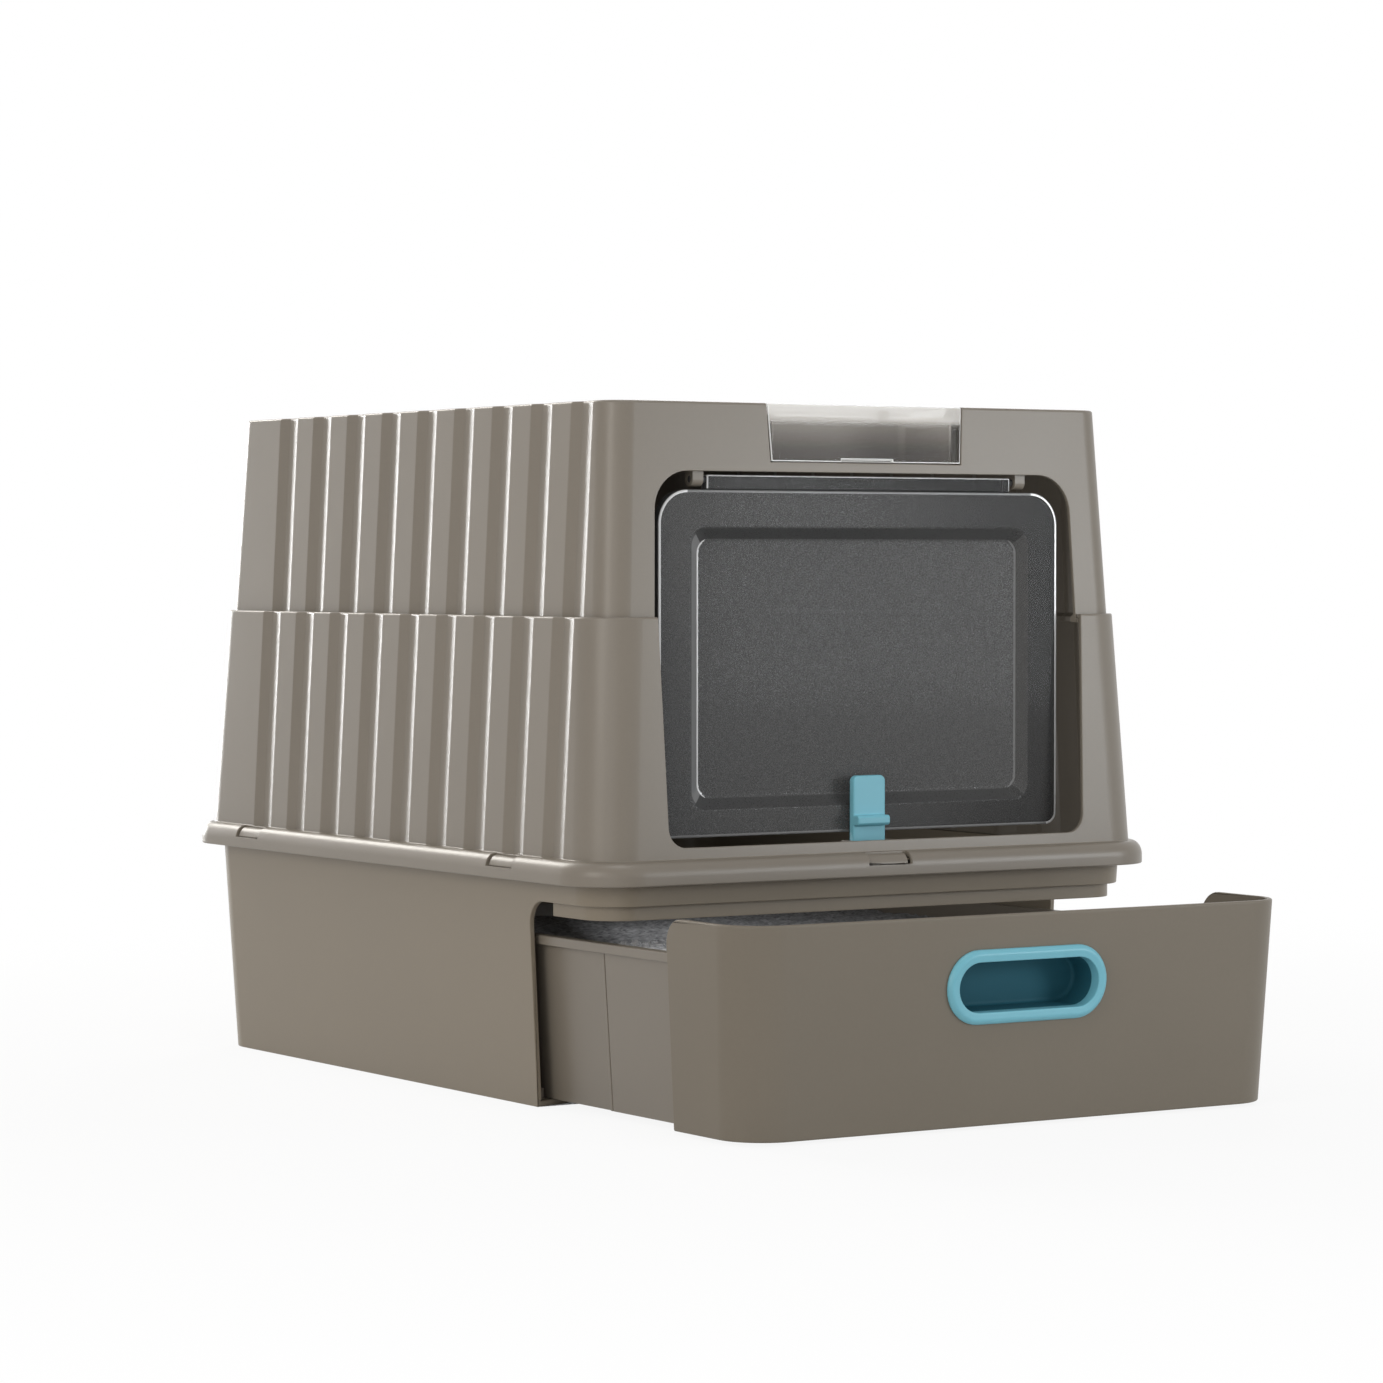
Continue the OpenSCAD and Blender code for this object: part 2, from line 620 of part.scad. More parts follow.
module upper_hood() {
    color(body_colour) difference() {
        union() {
            upper_wall();
            // lugs that carry the door
            left_and_right() {
                translate([lug_x, axis_y, axis_z]) rotate([0, 90, 0]) cylinder(r = lug_r, h = lug_t);
                box([lug_x, axis_y - lug_r, axis_z], [lug_x + lug_t, axis_y + lug_r, lintel_z + 4]);
                box([lug_x, -upper_y(lintel_z) + 1, lintel_z + 1],
                    [lug_x + lug_t, axis_y + lug_r, lintel_z + 7]);
            }
            // ears that carry the freshener cover
            left_and_right() {
                translate([cover_ear_x, cover_axis_y, cover_axis_z]) rotate([0, 90, 0])
                    cylinder(r = cover_ear_r, h = cover_ear_t);
                box([cover_ear_x, cover_axis_y - cover_ear_r, sunk_z - 1],
                    [cover_ear_x + cover_ear_t, cover_axis_y + cover_ear_r, cover_axis_z]);
            }
        }
        lintel_cut();
        along_y(-far / 2, far / 2 + cover_back_y) polygon(window_outline(slide_clear));
        left_and_right() {
            translate([lug_x - 1, axis_y, axis_z]) rotate([0, 90, 0])
                cylinder(r = pin_r + pin_clear, h = lug_t + 2);
            translate([cover_ear_x - 1, cover_axis_y, cover_axis_z]) rotate([0, 90, 0])
                cylinder(r = cover_pin_r + pin_clear, h = cover_ear_t + 2);
        }
    }
}

// ---- Freshener compartment ----
pan_t = 2;
cover_front_set = 0.6;
pan_half = cover_half_low - cover_t - 1;
pan_back_y = cover_back_y - 1;
pan_front_y = -upper_y(cover_low_z) + hood_wall + seat_clear;
pan_wall_y = -upper_y(roof_z) + cover_front_set + cover_t + slide_clear;
pan_corner = 6;

// Plan of the pan's outside, or of its inside when inset by its wall
module pan_plan(inset) {
    r = pan_corner - inset;
    half = pan_half - inset;
    back = pan_back_y - inset;
    polygon(concat([[-half, pan_wall_y - 20 * inset], [half, pan_wall_y - 20 * inset]],
        quarter(half - r, back - r, r, 0), quarter(-half + r, back - r, r, 90)));
}

module freshener_pan() {
    color(body_colour) {
        difference() {
            translate([0, 0, cover_low_z - pan_t]) linear_extrude(sunk_z - cover_low_z + pan_t) pan_plan(0);
            translate([0, 0, cover_low_z]) linear_extrude(far) pan_plan(pan_t);
        }
        // rim that rests on the sunk roof behind the window
        box([-pan_half, pan_back_y - pan_t, sunk_z], [pan_half, cover_back_y + 1.6, sunk_z + 0.9]);
        // lip that rests against the front wall's inner face, under the window
        box([-pan_half, pan_front_y, cover_low_z - 4.6], [pan_half, pan_wall_y + pan_t, cover_low_z]);
    }
}

// Side view of the cover: front face leaning with the hood wall, rounded into the top
module cover_profile(inset) {
    front_low = -upper_y(cover_low_z) + inset;
    front_high = -upper_y(roof_z) + inset + cover_front_set;
    top = roof_z - 0.15 - inset;
    r = 4 - inset;
    polygon(concat(
        [[front_low, cover_low_z - 20 * inset], [cover_back_y - inset, cover_low_z - 20 * inset],
         [cover_back_y - inset, top]],
        [for (i = [0:round_steps]) [front_high + r - r * sin(90 * i / round_steps),
                                    top - r + r * cos(90 * i / round_steps)]]));
}

module cover_block(inset) {
    intersection() {
        along_x(-far / 2, far) cover_profile(inset);
        along_y(-far / 2, far) polygon(window_outline(-inset - slide_clear));
    }
}

module freshener_cover() {
    color(clear_colour) {
        difference() {
            cover_block(0);
            cover_block(cover_t);
            // open underneath, the sides rising towards the back
            along_x(-far / 2, far) polygon([[-upper_y(cover_low_z) + cover_t, cover_low_z - 5],
                [-upper_y(cover_low_z) + cover_t, cover_low_z + 1.5],
                [cover_back_y - cover_t - 8, sunk_z + 1.6],
                [far, sunk_z + 1.6], [far, cover_low_z - 5]]);
            // finger notch in the lower edge
            box([-17.5, -far, cover_low_z - 1], [17.5, -upper_y(cover_low_z) + 1, cover_low_z + 1.9]);
        }
        // arms and pins of its hinge
        left_and_right() {
            box([cover_ear_x - 6, cover_back_y - 1, cover_axis_z - 1],
                [cover_ear_x - slide_clear, cover_axis_y, cover_axis_z + 1.6]);
            translate([cover_ear_x - 6, cover_axis_y, cover_axis_z]) rotate([0, 90, 0])
                cylinder(r = 2.3, h = 6 - slide_clear);
            translate([cover_ear_x - 2, cover_axis_y, cover_axis_z]) rotate([0, 90, 0])
                cylinder(r = cover_pin_r, h = cover_ear_t + 1.6);
        }
    }
}

// ---- Door ----
door_half = door_open_w / 2 - door_side_gap;
door_low_z = sill_z + door_foot_gap;
door_high_z = axis_z - 5.8;
door_top_r = 19;
door_low_r = 7;

// Outline of the door at a depth, set in by inset, and at its foot by a share foot of the frame less
function door_ring(inset, y, r_low, r_high, foot = 0) =
    [for (p = panel_outline(door_half - inset, door_low_z + inset - foot * (door_frame - door_foot_frame), r_low,
                            door_half - inset, door_high_z - inset, r_high)) [p[0], y, p[1]]];

module door_panel() {
    f = door_face_y;
    b = f + door_edge;
    inner = door_frame + door_dish * 1.7;
    color(smoke_colour) skin([
        door_ring(inner, f + door_dish, 8, 8, 1),
        door_ring(door_frame, f, 10, 10, 1),
        door_ring(0.8, f, door_low_r, door_top_r),
        door_ring(0, f + 0.8, door_low_r, door_top_r),
        door_ring(0, b, door_low_r, door_top_r),
        door_ring(door_t, b, door_low_r - door_t, door_top_r - door_t),
        door_ring(door_t, f + door_t, door_low_r - door_t, door_top_r - door_t),
        door_ring(door_frame + 0.4, f + door_t, 10, 10, 1),
        door_ring(inner + 0.4, f + door_dish + door_t, 8, 8, 1)]);
}

module door_hinge_bar() {
    z0 = door_high_z;
    z1 = z0 + bar_h;
    y0 = axis_y - bar_d / 2;
    y1 = y0 + bar_d;
    wall = 1.5;
    color(smoke_colour) {
        difference() {
            box([-bar_l / 2, y0, z0], [bar_l / 2, y1, z1]);
            box([-bar_l / 2 + 6, y0 + wall, z0 + wall], [bar_l / 2 - 6, y1 + 1, z1 - wall]);
        }
        left_and_right() translate([bar_l / 2 - 1, axis_y, axis_z]) rotate([0, 90, 0])
            cylinder(r = pin_r, h = lug_gap + lug_t + 0.6);
    }
}

// ---- Drawer ----
fascia_low_z = 2;
fascia_top_z = bay_h - slide_clear;
fascia_back_y = bay_back_y - 2 * slide_clear;
wing_r = bay_r + slide_clear;
sleeve_gap = 3;
sleeve_top_z = tray_h - rim_h - 0.1;
fascia_boss_x = base_x(0) - 58.2;
fascia_boss_z = [fascia_low_z + 14, sleeve_top_z - 9];
boss_r = 4.2;
boss_screw_r = 1.5;

// Places the drawer's front, and its tray, which sits further back
module pulled_out() {
    translate([0, -drawer_out, 0]) children();
}
module tray_place() {
    translate([0, tray_back - drawer_out, 0]) children();
}

module drawer_tray() {
    r = corner_r - 6;
    z_rim = tray_h - rim_h;
    rim_x = rim_half_w;
    rim_y = tray_y(tray_h) + rim_out;
    color(body_colour) tray_place() skin(plain_rings([
        [tray_low_z, tray_x(tray_low_z) - 2, tray_y(tray_low_z) - 2, r - 2],
        [tray_low_z + 1.6, tray_x(tray_low_z), tray_y(tray_low_z), r],
        [z_rim, tray_x(z_rim), tray_y(z_rim), r],
        [z_rim, rim_x, rim_y, r + 4],
        [tray_h - 0.8, rim_x, rim_y, r + 4],
        [tray_h, rim_x - 0.8, rim_y - 0.8, r + 3.2],
        [tray_h, tray_x(tray_h) - tray_wall, tray_y(tray_h) - tray_wall, r - tray_wall],
        [tray_low_z + 4, tray_x(tray_low_z + 4) - tray_wall, tray_y(tray_low_z + 4) - tray_wall, r - tray_wall],
        [tray_low_z + tray_wall, tray_x(tray_low_z) - 5.5, tray_y(tray_low_z) - 5.5, r - 5]]));
}

// Plan half sizes of the sleeve's outer face, which stands off the tray at the front
function sleeve_x(z) = tray_x(z) + seat_clear + sleeve_t;
function sleeve_y(z) = tray_y(z) + sleeve_gap + sleeve_t;

module drawer_sleeve() {
    r = corner_r - 4;
    color(body_colour) tray_place() difference() {
        skin(plain_rings([
            [tray_low_z, sleeve_x(tray_low_z), sleeve_y(tray_low_z), r],
            [sleeve_top_z, sleeve_x(sleeve_top_z), sleeve_y(sleeve_top_z), r],
            [sleeve_top_z, sleeve_x(sleeve_top_z) - sleeve_t, sleeve_y(sleeve_top_z) - sleeve_t,
                r - sleeve_t],
            [tray_low_z, sleeve_x(tray_low_z) - sleeve_t, sleeve_y(tray_low_z) - sleeve_t,
                r - sleeve_t]]), loop = true);
        box([-far, -base_l / 2 + sleeve_l - tray_back, -1], [far, far, far]);
        for (sx = [-1, 1], z = fascia_boss_z) translate([sx * fascia_boss_x, 0, z]) rotate([90, 0, 0])
            cylinder(r = boss_screw_r, h = far / 2);
    }
}

module fascia_wall() {
    r = corner_r;
    t = fascia_t;
    skin(plain_rings([
        [fascia_low_z, base_x(0) - 1.2, base_y(0) - 1.2, r - 1.2],
        [fascia_low_z + 1.2, base_x(fascia_low_z), base_y(fascia_low_z), r],
        [fascia_top_z - 1.4, base_x(fascia_top_z), base_y(fascia_top_z), r],
        [fascia_top_z - 0.4, base_x(fascia_top_z) - 0.4, base_y(fascia_top_z) - 0.4, r - 0.4],
        [fascia_top_z, base_x(fascia_top_z) - 1.4, base_y(fascia_top_z) - 1.4, r - 1.4],
        [fascia_top_z - 0.6, base_x(fascia_top_z) - t + 0.3, base_y(fascia_top_z) - t + 0.3, r - t],
        [fascia_top_z - 2, base_x(fascia_top_z) - t, base_y(fascia_top_z) - t, r - t],
        [fascia_low_z, base_x(fascia_low_z) - t, base_y(fascia_low_z) - t, r - t]]), loop = true);
}

// What is cut away behind the drawer front's two wings
module wing_profile() {
    difference() {
        polygon([[fascia_back_y - wing_r, -1], [far, -1], [far, far], [fascia_back_y - wing_r, far]]);
        polygon(concat([[fascia_back_y - wing_r - 1, -2], [fascia_back_y, -2]],
            [for (i = [0:round_steps]) [fascia_back_y - wing_r + wing_r * cos(90 * i / round_steps),
                fascia_top_z - wing_r + wing_r * sin(90 * i / round_steps)]],
            [[fascia_back_y - wing_r - 1, fascia_top_z]]));
    }
}

module drawer_fascia() {
    color(body_colour) pulled_out() difference() {
        union() {
            difference() {
                fascia_wall();
                along_x(-far / 2, far) wing_profile();
            }
            for (sx = [-1, 1], z = fascia_boss_z) {
                y0 = -base_y(z) + 1.4;
                y1 = tray_back - sleeve_y(z + boss_r) - seat_clear / 2;
                translate([sx * fascia_boss_x, y1, z]) rotate([90, 0, 0])
                    cylinder(r = boss_r, h = y1 - y0);
            }
        }
        for (sx = [-1, 1], z = fascia_boss_z) translate([sx * fascia_boss_x, 0, z]) rotate([90, 0, 0])
            cylinder(r = boss_screw_r, h = base_y(z) - 2.4);
        translate([0, pull_face_y, pull_z]) rotate([face_tilt - 90, 0, 0]) linear_extrude(16, center = true)
            stadium(pull_in_w + 2 * pull_wall + 0.3, pull_in_h + 2 * pull_wall + 0.3);
    }
}

module fascia_screw(side, level) {
    z = fascia_boss_z[level];
    seat = tray_back - sleeve_y(z) + sleeve_t;
    color(steel_colour) pulled_out() translate([side * fascia_boss_x, 0, z]) {
        translate([0, seat, 0]) rotate([90, 0, 0])
            cylinder(r = boss_screw_r, h = base_y(z) - 2.5 + seat);
        difference() {
            translate([0, seat + 1.6, 0]) rotate([90, 0, 0]) cylinder(r = 2.9, h = 1.6);
            for (turn = [0, 90]) rotate([0, turn, 0]) box([-2, seat + 0.8, -0.4], [2, seat + 3, 0.4]);
        }
    }
}

// ---- Pull ----
pull_in_w = pull_w - 2 * pull_frame;
pull_in_h = pull_h - 2 * pull_frame;
pull_z = bay_h - pull_drop;
pull_face_y = -base_y(pull_z);
pull_proud = 3;
pull_seat = 0.1;
face_tilt = atan(base_lean);

// Section through the pull's frame and cup wall, as [distance from the middle line, depth]
function pull_section(half) = [
    [half - pull_frame, pull_depth], [half - pull_frame, 1.2], [half - pull_frame + 0.6, -0.6],
    [half - pull_frame + 2, -2.2], [half - pull_frame / 2, -pull_proud], [half - 1.8, -2.4],
    [half - 0.5, -1.2], [half, -pull_seat], [half - pull_frame + pull_wall, -pull_seat],
    [half - pull_frame + pull_wall, pull_depth]];

module drawer_pull() {
    half = pull_h / 2;
    straight = pull_w - pull_h;
    back_h = pull_in_h + 2 * pull_wall;
    back_w = pull_in_w + 2 * pull_wall;
    color(blue_colour) pulled_out()
        translate([0, pull_face_y, pull_z]) rotate([face_tilt - 90, 0, 0]) {
            for (s = [0, 1]) rotate(180 * s) {
                translate([straight / 2, 0, 0]) rotate(-90) rotate_extrude(angle = 180)
                    polygon(pull_section(half));
                translate([-straight / 2, 0, 0]) rotate([90, 0, 90]) linear_extrude(straight)
                    polygon(pull_section(half));
            }
            translate([0, 0, pull_depth]) linear_extrude(pull_wall) stadium(back_w, back_h);
        }
}

// ---- Litter ----
module litter_bed() {
    gap = 0.3;
    low = tray_low_z + tray_wall + gap;
    high = tray_h - litter_drop;
    r = corner_r - 6 - tray_wall - gap;
    in_x = tray_wall + gap;
    shoulder = 0.78;
    crown = 0.46;
    color(litter_colour) tray_place() skin(plain_rings([
        [low + 0.2, tray_x(low) - 6.2, tray_y(low) - 6.2, r - 3],
        [low + 4, tray_x(low + 3) - in_x, tray_y(low + 3) - in_x, r],
        [high, tray_x(high) - in_x - 0.2, tray_y(high) - in_x - 0.2, r],
        [high + litter_heap * 0.55, tray_x(high) * shoulder, tray_y(high) * shoulder, r],
        [high + litter_heap, tray_x(high) * crown, tray_y(high) * crown, r]]));
}

base_shell();
lower_hood();
rim_catch("left_front");  // rim_catch_left_front
rim_catch("left_rear");  // rim_catch_left_rear
rim_catch("right_front");  // rim_catch_right_front
rim_catch("right_rear");  // rim_catch_right_rear
rim_catch("front");  // rim_catch_front
rim_catch("rear");  // rim_catch_rear
latch_keeper();
keeper_screw(-1);  // keeper_screw_left
keeper_screw(1);  // keeper_screw_right
door_latch();
upper_hood();
freshener_pan();
freshener_cover();
door_panel();
door_hinge_bar();
drawer_tray();
drawer_sleeve();
drawer_fascia();
fascia_screw(-1, 0);  // fascia_screw_low_left
fascia_screw(1, 0);  // fascia_screw_low_right
fascia_screw(-1, 1);  // fascia_screw_high_left
fascia_screw(1, 1);  // fascia_screw_high_right
drawer_pull();
litter_bed();
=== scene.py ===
# %% [markdown]
# # Dressing a drawer litter box
# The box is an enclosed cat toilet of thin moulded plastic: a base with a litter drawer, a hood
# in two ribbed tiers, a smoke-clear door on two pins, and a clear cover over a freshener pocket.
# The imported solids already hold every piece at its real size, so this lesson keeps their sizes and
# rebuilds what the eye dwells on: soft edges, ribs with true crests, crumbs of litter, and plastic
# with a moulded grain. Everything is written in millimetres and scaled once, when a mesh is made.

# %% Load the frame and measure it
import json
import math
import random
from contextlib import contextmanager

import bmesh
import bpy
import numpy as np
from mathutils import Matrix, Vector, noise
from mathutils.bvhtree import BVHTree


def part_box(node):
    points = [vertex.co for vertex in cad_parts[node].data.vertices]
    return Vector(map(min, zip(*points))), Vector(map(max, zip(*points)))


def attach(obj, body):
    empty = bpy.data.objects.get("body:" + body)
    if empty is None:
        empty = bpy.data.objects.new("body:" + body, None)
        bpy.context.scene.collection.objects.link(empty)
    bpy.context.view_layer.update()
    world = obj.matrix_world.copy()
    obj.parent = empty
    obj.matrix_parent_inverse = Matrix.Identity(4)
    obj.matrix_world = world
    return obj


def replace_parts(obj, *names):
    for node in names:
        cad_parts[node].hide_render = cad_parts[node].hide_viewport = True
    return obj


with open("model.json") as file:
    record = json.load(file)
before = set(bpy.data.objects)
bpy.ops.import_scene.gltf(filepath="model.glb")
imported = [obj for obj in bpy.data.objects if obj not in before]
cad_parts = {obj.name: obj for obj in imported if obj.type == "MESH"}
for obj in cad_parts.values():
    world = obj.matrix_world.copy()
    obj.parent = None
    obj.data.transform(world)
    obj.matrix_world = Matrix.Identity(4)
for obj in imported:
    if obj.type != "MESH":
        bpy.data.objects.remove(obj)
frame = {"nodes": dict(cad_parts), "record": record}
MM = 0.001
random.seed(7)


def box_mm(node):
    """Lowest and highest corner of a node, in millimetres."""
    low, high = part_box(node)
    return low / MM, high / MM


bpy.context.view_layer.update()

# %% [markdown]
# ## Sizes
# The heights and widths come from the solids' own boxes. The few values below that a box can't
# tell, such as how far a wall leans or how the ribs are spaced, are the same as in the solids, so
# that each new skin lies where its solid lies.

# %% Levels and leans
flange_low, flange_high = box_mm("lower_hood")
flange_half_x, flange_half_y = flange_high.x, flange_high.y
flange_low_z, seam_z = flange_low.z, flange_high.z
flange_top_z = 141.5
roof_z = box_mm("upper_hood")[1].z
base_rim_z = box_mm("base_shell")[1].z
sunk_z = roof_z - 6
sill_z = flange_top_z + 6.4
lintel_z = roof_z - 38.5
bay_z = 116.3
bay_back_y = -160.2
wall_t = 2.4
base_wall_t = 3.0
base_r = 27.0
upper_r = 16.0
BASE_FOOT, BASE_LEAN = np.array([178.2, 231.4]), 0.048
LOWER_FOOT, LOWER_LEAN = np.array([188.8, 242.0]), 0.054
UPPER_STEP, UPPER_LEAN = np.array([6.1, 4.6]), 0.052


def base_half(z):
    """Half width and half length of the base's outer wall at a height."""
    return BASE_FOOT + BASE_LEAN * z


def lower_half(z):
    return LOWER_FOOT - LOWER_LEAN * (z - flange_top_z)


def upper_half(z):
    return lower_half(seam_z) - UPPER_STEP - UPPER_LEAN * (z - seam_z)


print("seam at", round(seam_z, 1), "roof at", round(roof_z, 1), "doorway", sill_z, "to", lintel_z)

# %% [markdown]
# ## From levels to skins
# A moulded wall is a stack of closed outlines. Each level names its half width, half length,
# height, corner radius, share of the ribs, and the radius that softens its edge. Extruding and
# bevelling a box would do for one straight wall, but these walls lean, carry ribs and end in
# rolled lips, so a loft between levels is the shorter way, and it gives clean quads.

# %% Soften a profile


def soften(levels, closed=True, steps=5):
    """Replace each edge of a profile with a small arc; the last value of a level is its radius."""
    rows = [np.array(level, float) for level in levels]
    soft = []
    for i, row in enumerate(rows):
        radius = row[-1]
        ends = not closed and i in (0, len(rows) - 1)
        if radius <= 0 or ends:
            soft.append(row)
            continue
        arms = []
        for other in (rows[i - 1], rows[(i + 1) % len(rows)]):
            reach = math.hypot(other[0] - row[0], other[2] - row[2])
            arms.append((other - row) * min(0.5, radius / reach))
        for t in np.linspace(0, 1, steps + 1):
            soft.append(row + arms[0] * (1 - t) ** 2 + arms[1] * t ** 2)
    return soft


print("a soft edge takes", len(soften([(0, 0, 0, 0), (9, 0, 0, 1), (9, 0, 9, 0)])) - 2, "levels")

# %% Skin a stack of rings


def new_piece(name, mesh, material):
    mesh.materials.clear()
    mesh.materials.append(material)
    piece = bpy.data.objects.new(name, mesh)
    bpy.context.scene.collection.objects.link(piece)
    return piece


def piece_from(name, points, faces, material):
    """A new object from points in millimetres."""
    mesh = bpy.data.meshes.new(name)
    mesh.from_pydata([tuple(MM * v for v in p) for p in points], [], faces)
    mesh.validate()
    return new_piece(name, mesh, material)


@contextmanager
def open_mesh(piece):
    """A piece's mesh, opened for edits and put back after them."""
    bm = bmesh.new()
    bm.from_mesh(piece.data)
    yield bm
    bm.to_mesh(piece.data)
    bm.free()


def skin(name, rings, material, closed=True):
    """A skin over rings of equal length, closed on itself or ended by two caps."""
    n, m = len(rings[0]), len(rings)
    points = [p for ring in rings for p in ring]
    faces = [(j * n + i, j * n + (i + 1) % n, (j + 1) % m * n + (i + 1) % n, (j + 1) % m * n + i)
             for j in range(m if closed else m - 1) for i in range(n)]
    if not closed:
        faces.append(tuple(reversed(range(n))))
        faces.append(tuple((m - 1) * n + i for i in range(n)))
    piece = piece_from(name, points, faces, material)
    face_outward(piece)
    return piece


def face_outward(piece):
    with open_mesh(piece) as bm:
        bmesh.ops.recalc_face_normals(bm, faces=bm.faces)


print("points are in millimetres and meshes in metres")

# %% [markdown]
# ## Cutting, rounding and shading
# Doorways and notches are cut with the Boolean modifier, which keeps flat walls flat. Its edges are
# razor sharp, and real mouldings never are, so a narrow Bevel rounds every edge sharper than the
# loft's own arcs, and Weighted Normal lets the large faces decide the shading.

# %% Modifier helpers
WELD = 0.02 * MM


def settle(piece):
    """Turn a piece's modifiers into its mesh."""
    graph = bpy.context.evaluated_depsgraph_get()
    mesh = bpy.data.meshes.new_from_object(piece.evaluated_get(graph))
    piece.modifiers.clear()
    piece.data = mesh
    return piece


def cut(piece, *cutters):
    for cutter in cutters:
        tool = piece.modifiers.new("cut", "BOOLEAN")
        tool.operation = "DIFFERENCE"
        tool.solver = "EXACT"
        tool.object = cutter
        settle(piece)
        bpy.data.objects.remove(cutter)
    return piece


def round_edges(piece, width=0.5, segments=2, from_angle=50, edge_highlight=None):
    """Round the sharp edges, in a material of their own for a painted highlight if one is given, and
    shade the piece.
    """
    with open_mesh(piece) as bm:
        bmesh.ops.remove_doubles(bm, verts=bm.verts, dist=WELD)
        bmesh.ops.dissolve_degenerate(bm, edges=bm.edges, dist=WELD)
    if width:
        bevel = piece.modifiers.new("round", "BEVEL")
        bevel.width = width * MM
        bevel.segments = segments
        bevel.limit_method = "ANGLE"
        bevel.angle_limit = math.radians(from_angle)
        bevel.use_clamp_overlap = False
        if edge_highlight:
            piece.data.materials.append(edge_highlight)
            bevel.material = 1
        settle(piece)
    return shade(piece)


def shade(piece, sharp=45):
    """Smooth shading, broken at edges sharper than the angle given."""
    limit = math.radians(sharp)
    with open_mesh(piece) as bm:
        for face in bm.faces:
            face.smooth = True
        for edge in bm.edges:
            edge.smooth = len(edge.link_faces) == 2 and edge.calc_face_angle(0) < limit
    even = piece.modifiers.new("even", "WEIGHTED_NORMAL")
    even.keep_sharp = True
    even.weight = 80
    return settle(piece)


print("edges closer than", WELD, "m are welded")

# %% Cutter shapes


def prism(name, outline, axis, start, end):
    """A cutter: an outline drawn in the two other axes, drawn out along x, y or z."""
    order = {"x": (2, 0, 1), "y": (0, 2, 1), "z": (0, 1, 2)}[axis]
    rings = [[tuple((p[0], p[1], at)[i] for i in order) for p in outline] for at in (start, end)]
    return skin(name, rings, None, closed=False)


def arc(cx, cy, r, start, steps=10, sweep=90):
    turn = [math.radians(start + sweep * i / steps) for i in range(steps + 1)]
    return [(cx + r * math.cos(t), cy + r * math.sin(t)) for t in turn]


def panel(low_x, low_z, low_r, high_x, high_z, high_r, steps=10):
    """A symmetric outline with its own half width and corner radius at its foot and its head."""
    return (arc(low_x - low_r, low_z + low_r, low_r, -90, steps)
            + arc(high_x - high_r, high_z - high_r, high_r, 0, steps)
            + arc(-high_x + high_r, high_z - high_r, high_r, 90, steps)
            + arc(-low_x + low_r, low_z + low_r, low_r, 180, steps))


def block(low, high):
    outline = [(low[0], low[1]), (high[0], low[1]), (high[0], high[1]), (low[0], high[1])]
    return prism("block", outline, "z", low[2], high[2])


def carry(part, piece):
    """Make a part move with the piece that it belongs to."""
    part.parent = piece
    part.matrix_parent_inverse = piece.matrix_world.inverted()


print("loft, cut and rounding helpers are ready")

# %% [markdown]
# ## Shader values that can be added up
# A node tree is arithmetic in disguise. This class wraps one output socket, and its operators add
# Math nodes, so that a roughness can be written as 0.4 + 0.1 * speckle. Any other node comes from
# its one method node(), which takes the node's type, its settings and its sockets' values.

# %% The Wire class


class Wire:
    def __init__(self, tree, socket=None):
        self.tree = tree
        self.socket = socket

    def node(self, kind, settings=None, inputs=None, output=0):
        made = self.tree.nodes.new(kind)
        for name, value in (settings or {}).items():
            if name == "stops":
                while len(made.color_ramp.elements) < len(value):
                    made.color_ramp.elements.new(1.0)
                for stop, (at, level) in zip(made.color_ramp.elements, value):
                    stop.position = at
                    stop.color = (level, level, level, 1)
            else:
                setattr(made, name, value)
        for name, value in (inputs or {}).items():
            if isinstance(value, Wire):
                self.tree.links.new(value.socket, made.inputs[name])
            else:
                made.inputs[name].default_value = value
        return Wire(self.tree, made.outputs[output])

    def math(self, operation, *values):
        return self.node("ShaderNodeMath", {"operation": operation}, dict(enumerate(values)))

    def __add__(self, other):
        return self.math("ADD", self, other)

    def __mul__(self, other):
        return self.math("MULTIPLY", self, other)

    __radd__, __rmul__ = __add__, __mul__

    def __sub__(self, other):
        return self.math("SUBTRACT", self, other)

    def __rsub__(self, other):
        return self.math("SUBTRACT", other, self)

    def mix(self, first, second):
        """Blend two colours by this value; 6 and 7 are the Mix node's colour inputs A and B."""
        return self.node("ShaderNodeMix", {"data_type": "RGBA"},
                         {0: self, 6: first, 7: second}, output=2)


def linear(red, green, blue):
    """A colour given as 0 to 255, as a shader wants it."""
    def one(v):
        v /= 255
        return v / 12.92 if v <= 0.04045 else ((v + 0.055) / 1.055) ** 2.4
    return (one(red), one(green), one(blue), 1.0)


def grey(level):
    return linear(level, level, level)


def shades(colour, spread):
    """A darker and a lighter tone of a colour."""
    return [tuple(min(1, c * (1 + way * spread)) for c in colour[:3]) + (1.0,) for way in (-1, 1)]


def principled(name):
    """A new material: its name, an empty Wire to build with, and its Principled node."""
    material = bpy.data.materials.new(name)
    material.use_nodes = True
    tree = material.node_tree
    return material, Wire(tree), tree.nodes["Principled BSDF"]


def feed(shader, **values):
    """Set or link sockets of a Principled node by name, with _ for a space."""
    for key, value in values.items():
        socket = shader.inputs[key.replace("_", " ")]
        if isinstance(value, Wire):
            value.tree.links.new(value.socket, socket)
        else:
            socket.default_value = value


def spot_on(wire):
    """The point on the surface, in metres of the frame."""
    return wire.node("ShaderNodeTexCoord", output="Object")


def grains(wire, place, scale, detail):
    return wire.node("ShaderNodeTexNoise", {}, {"Vector": place, "Scale": scale, "Detail": detail})


def dents(wire, height, strength, depth=0.00005):
    return wire.node("ShaderNodeBump", {},
                     {"Height": height, "Strength": strength, "Distance": depth})


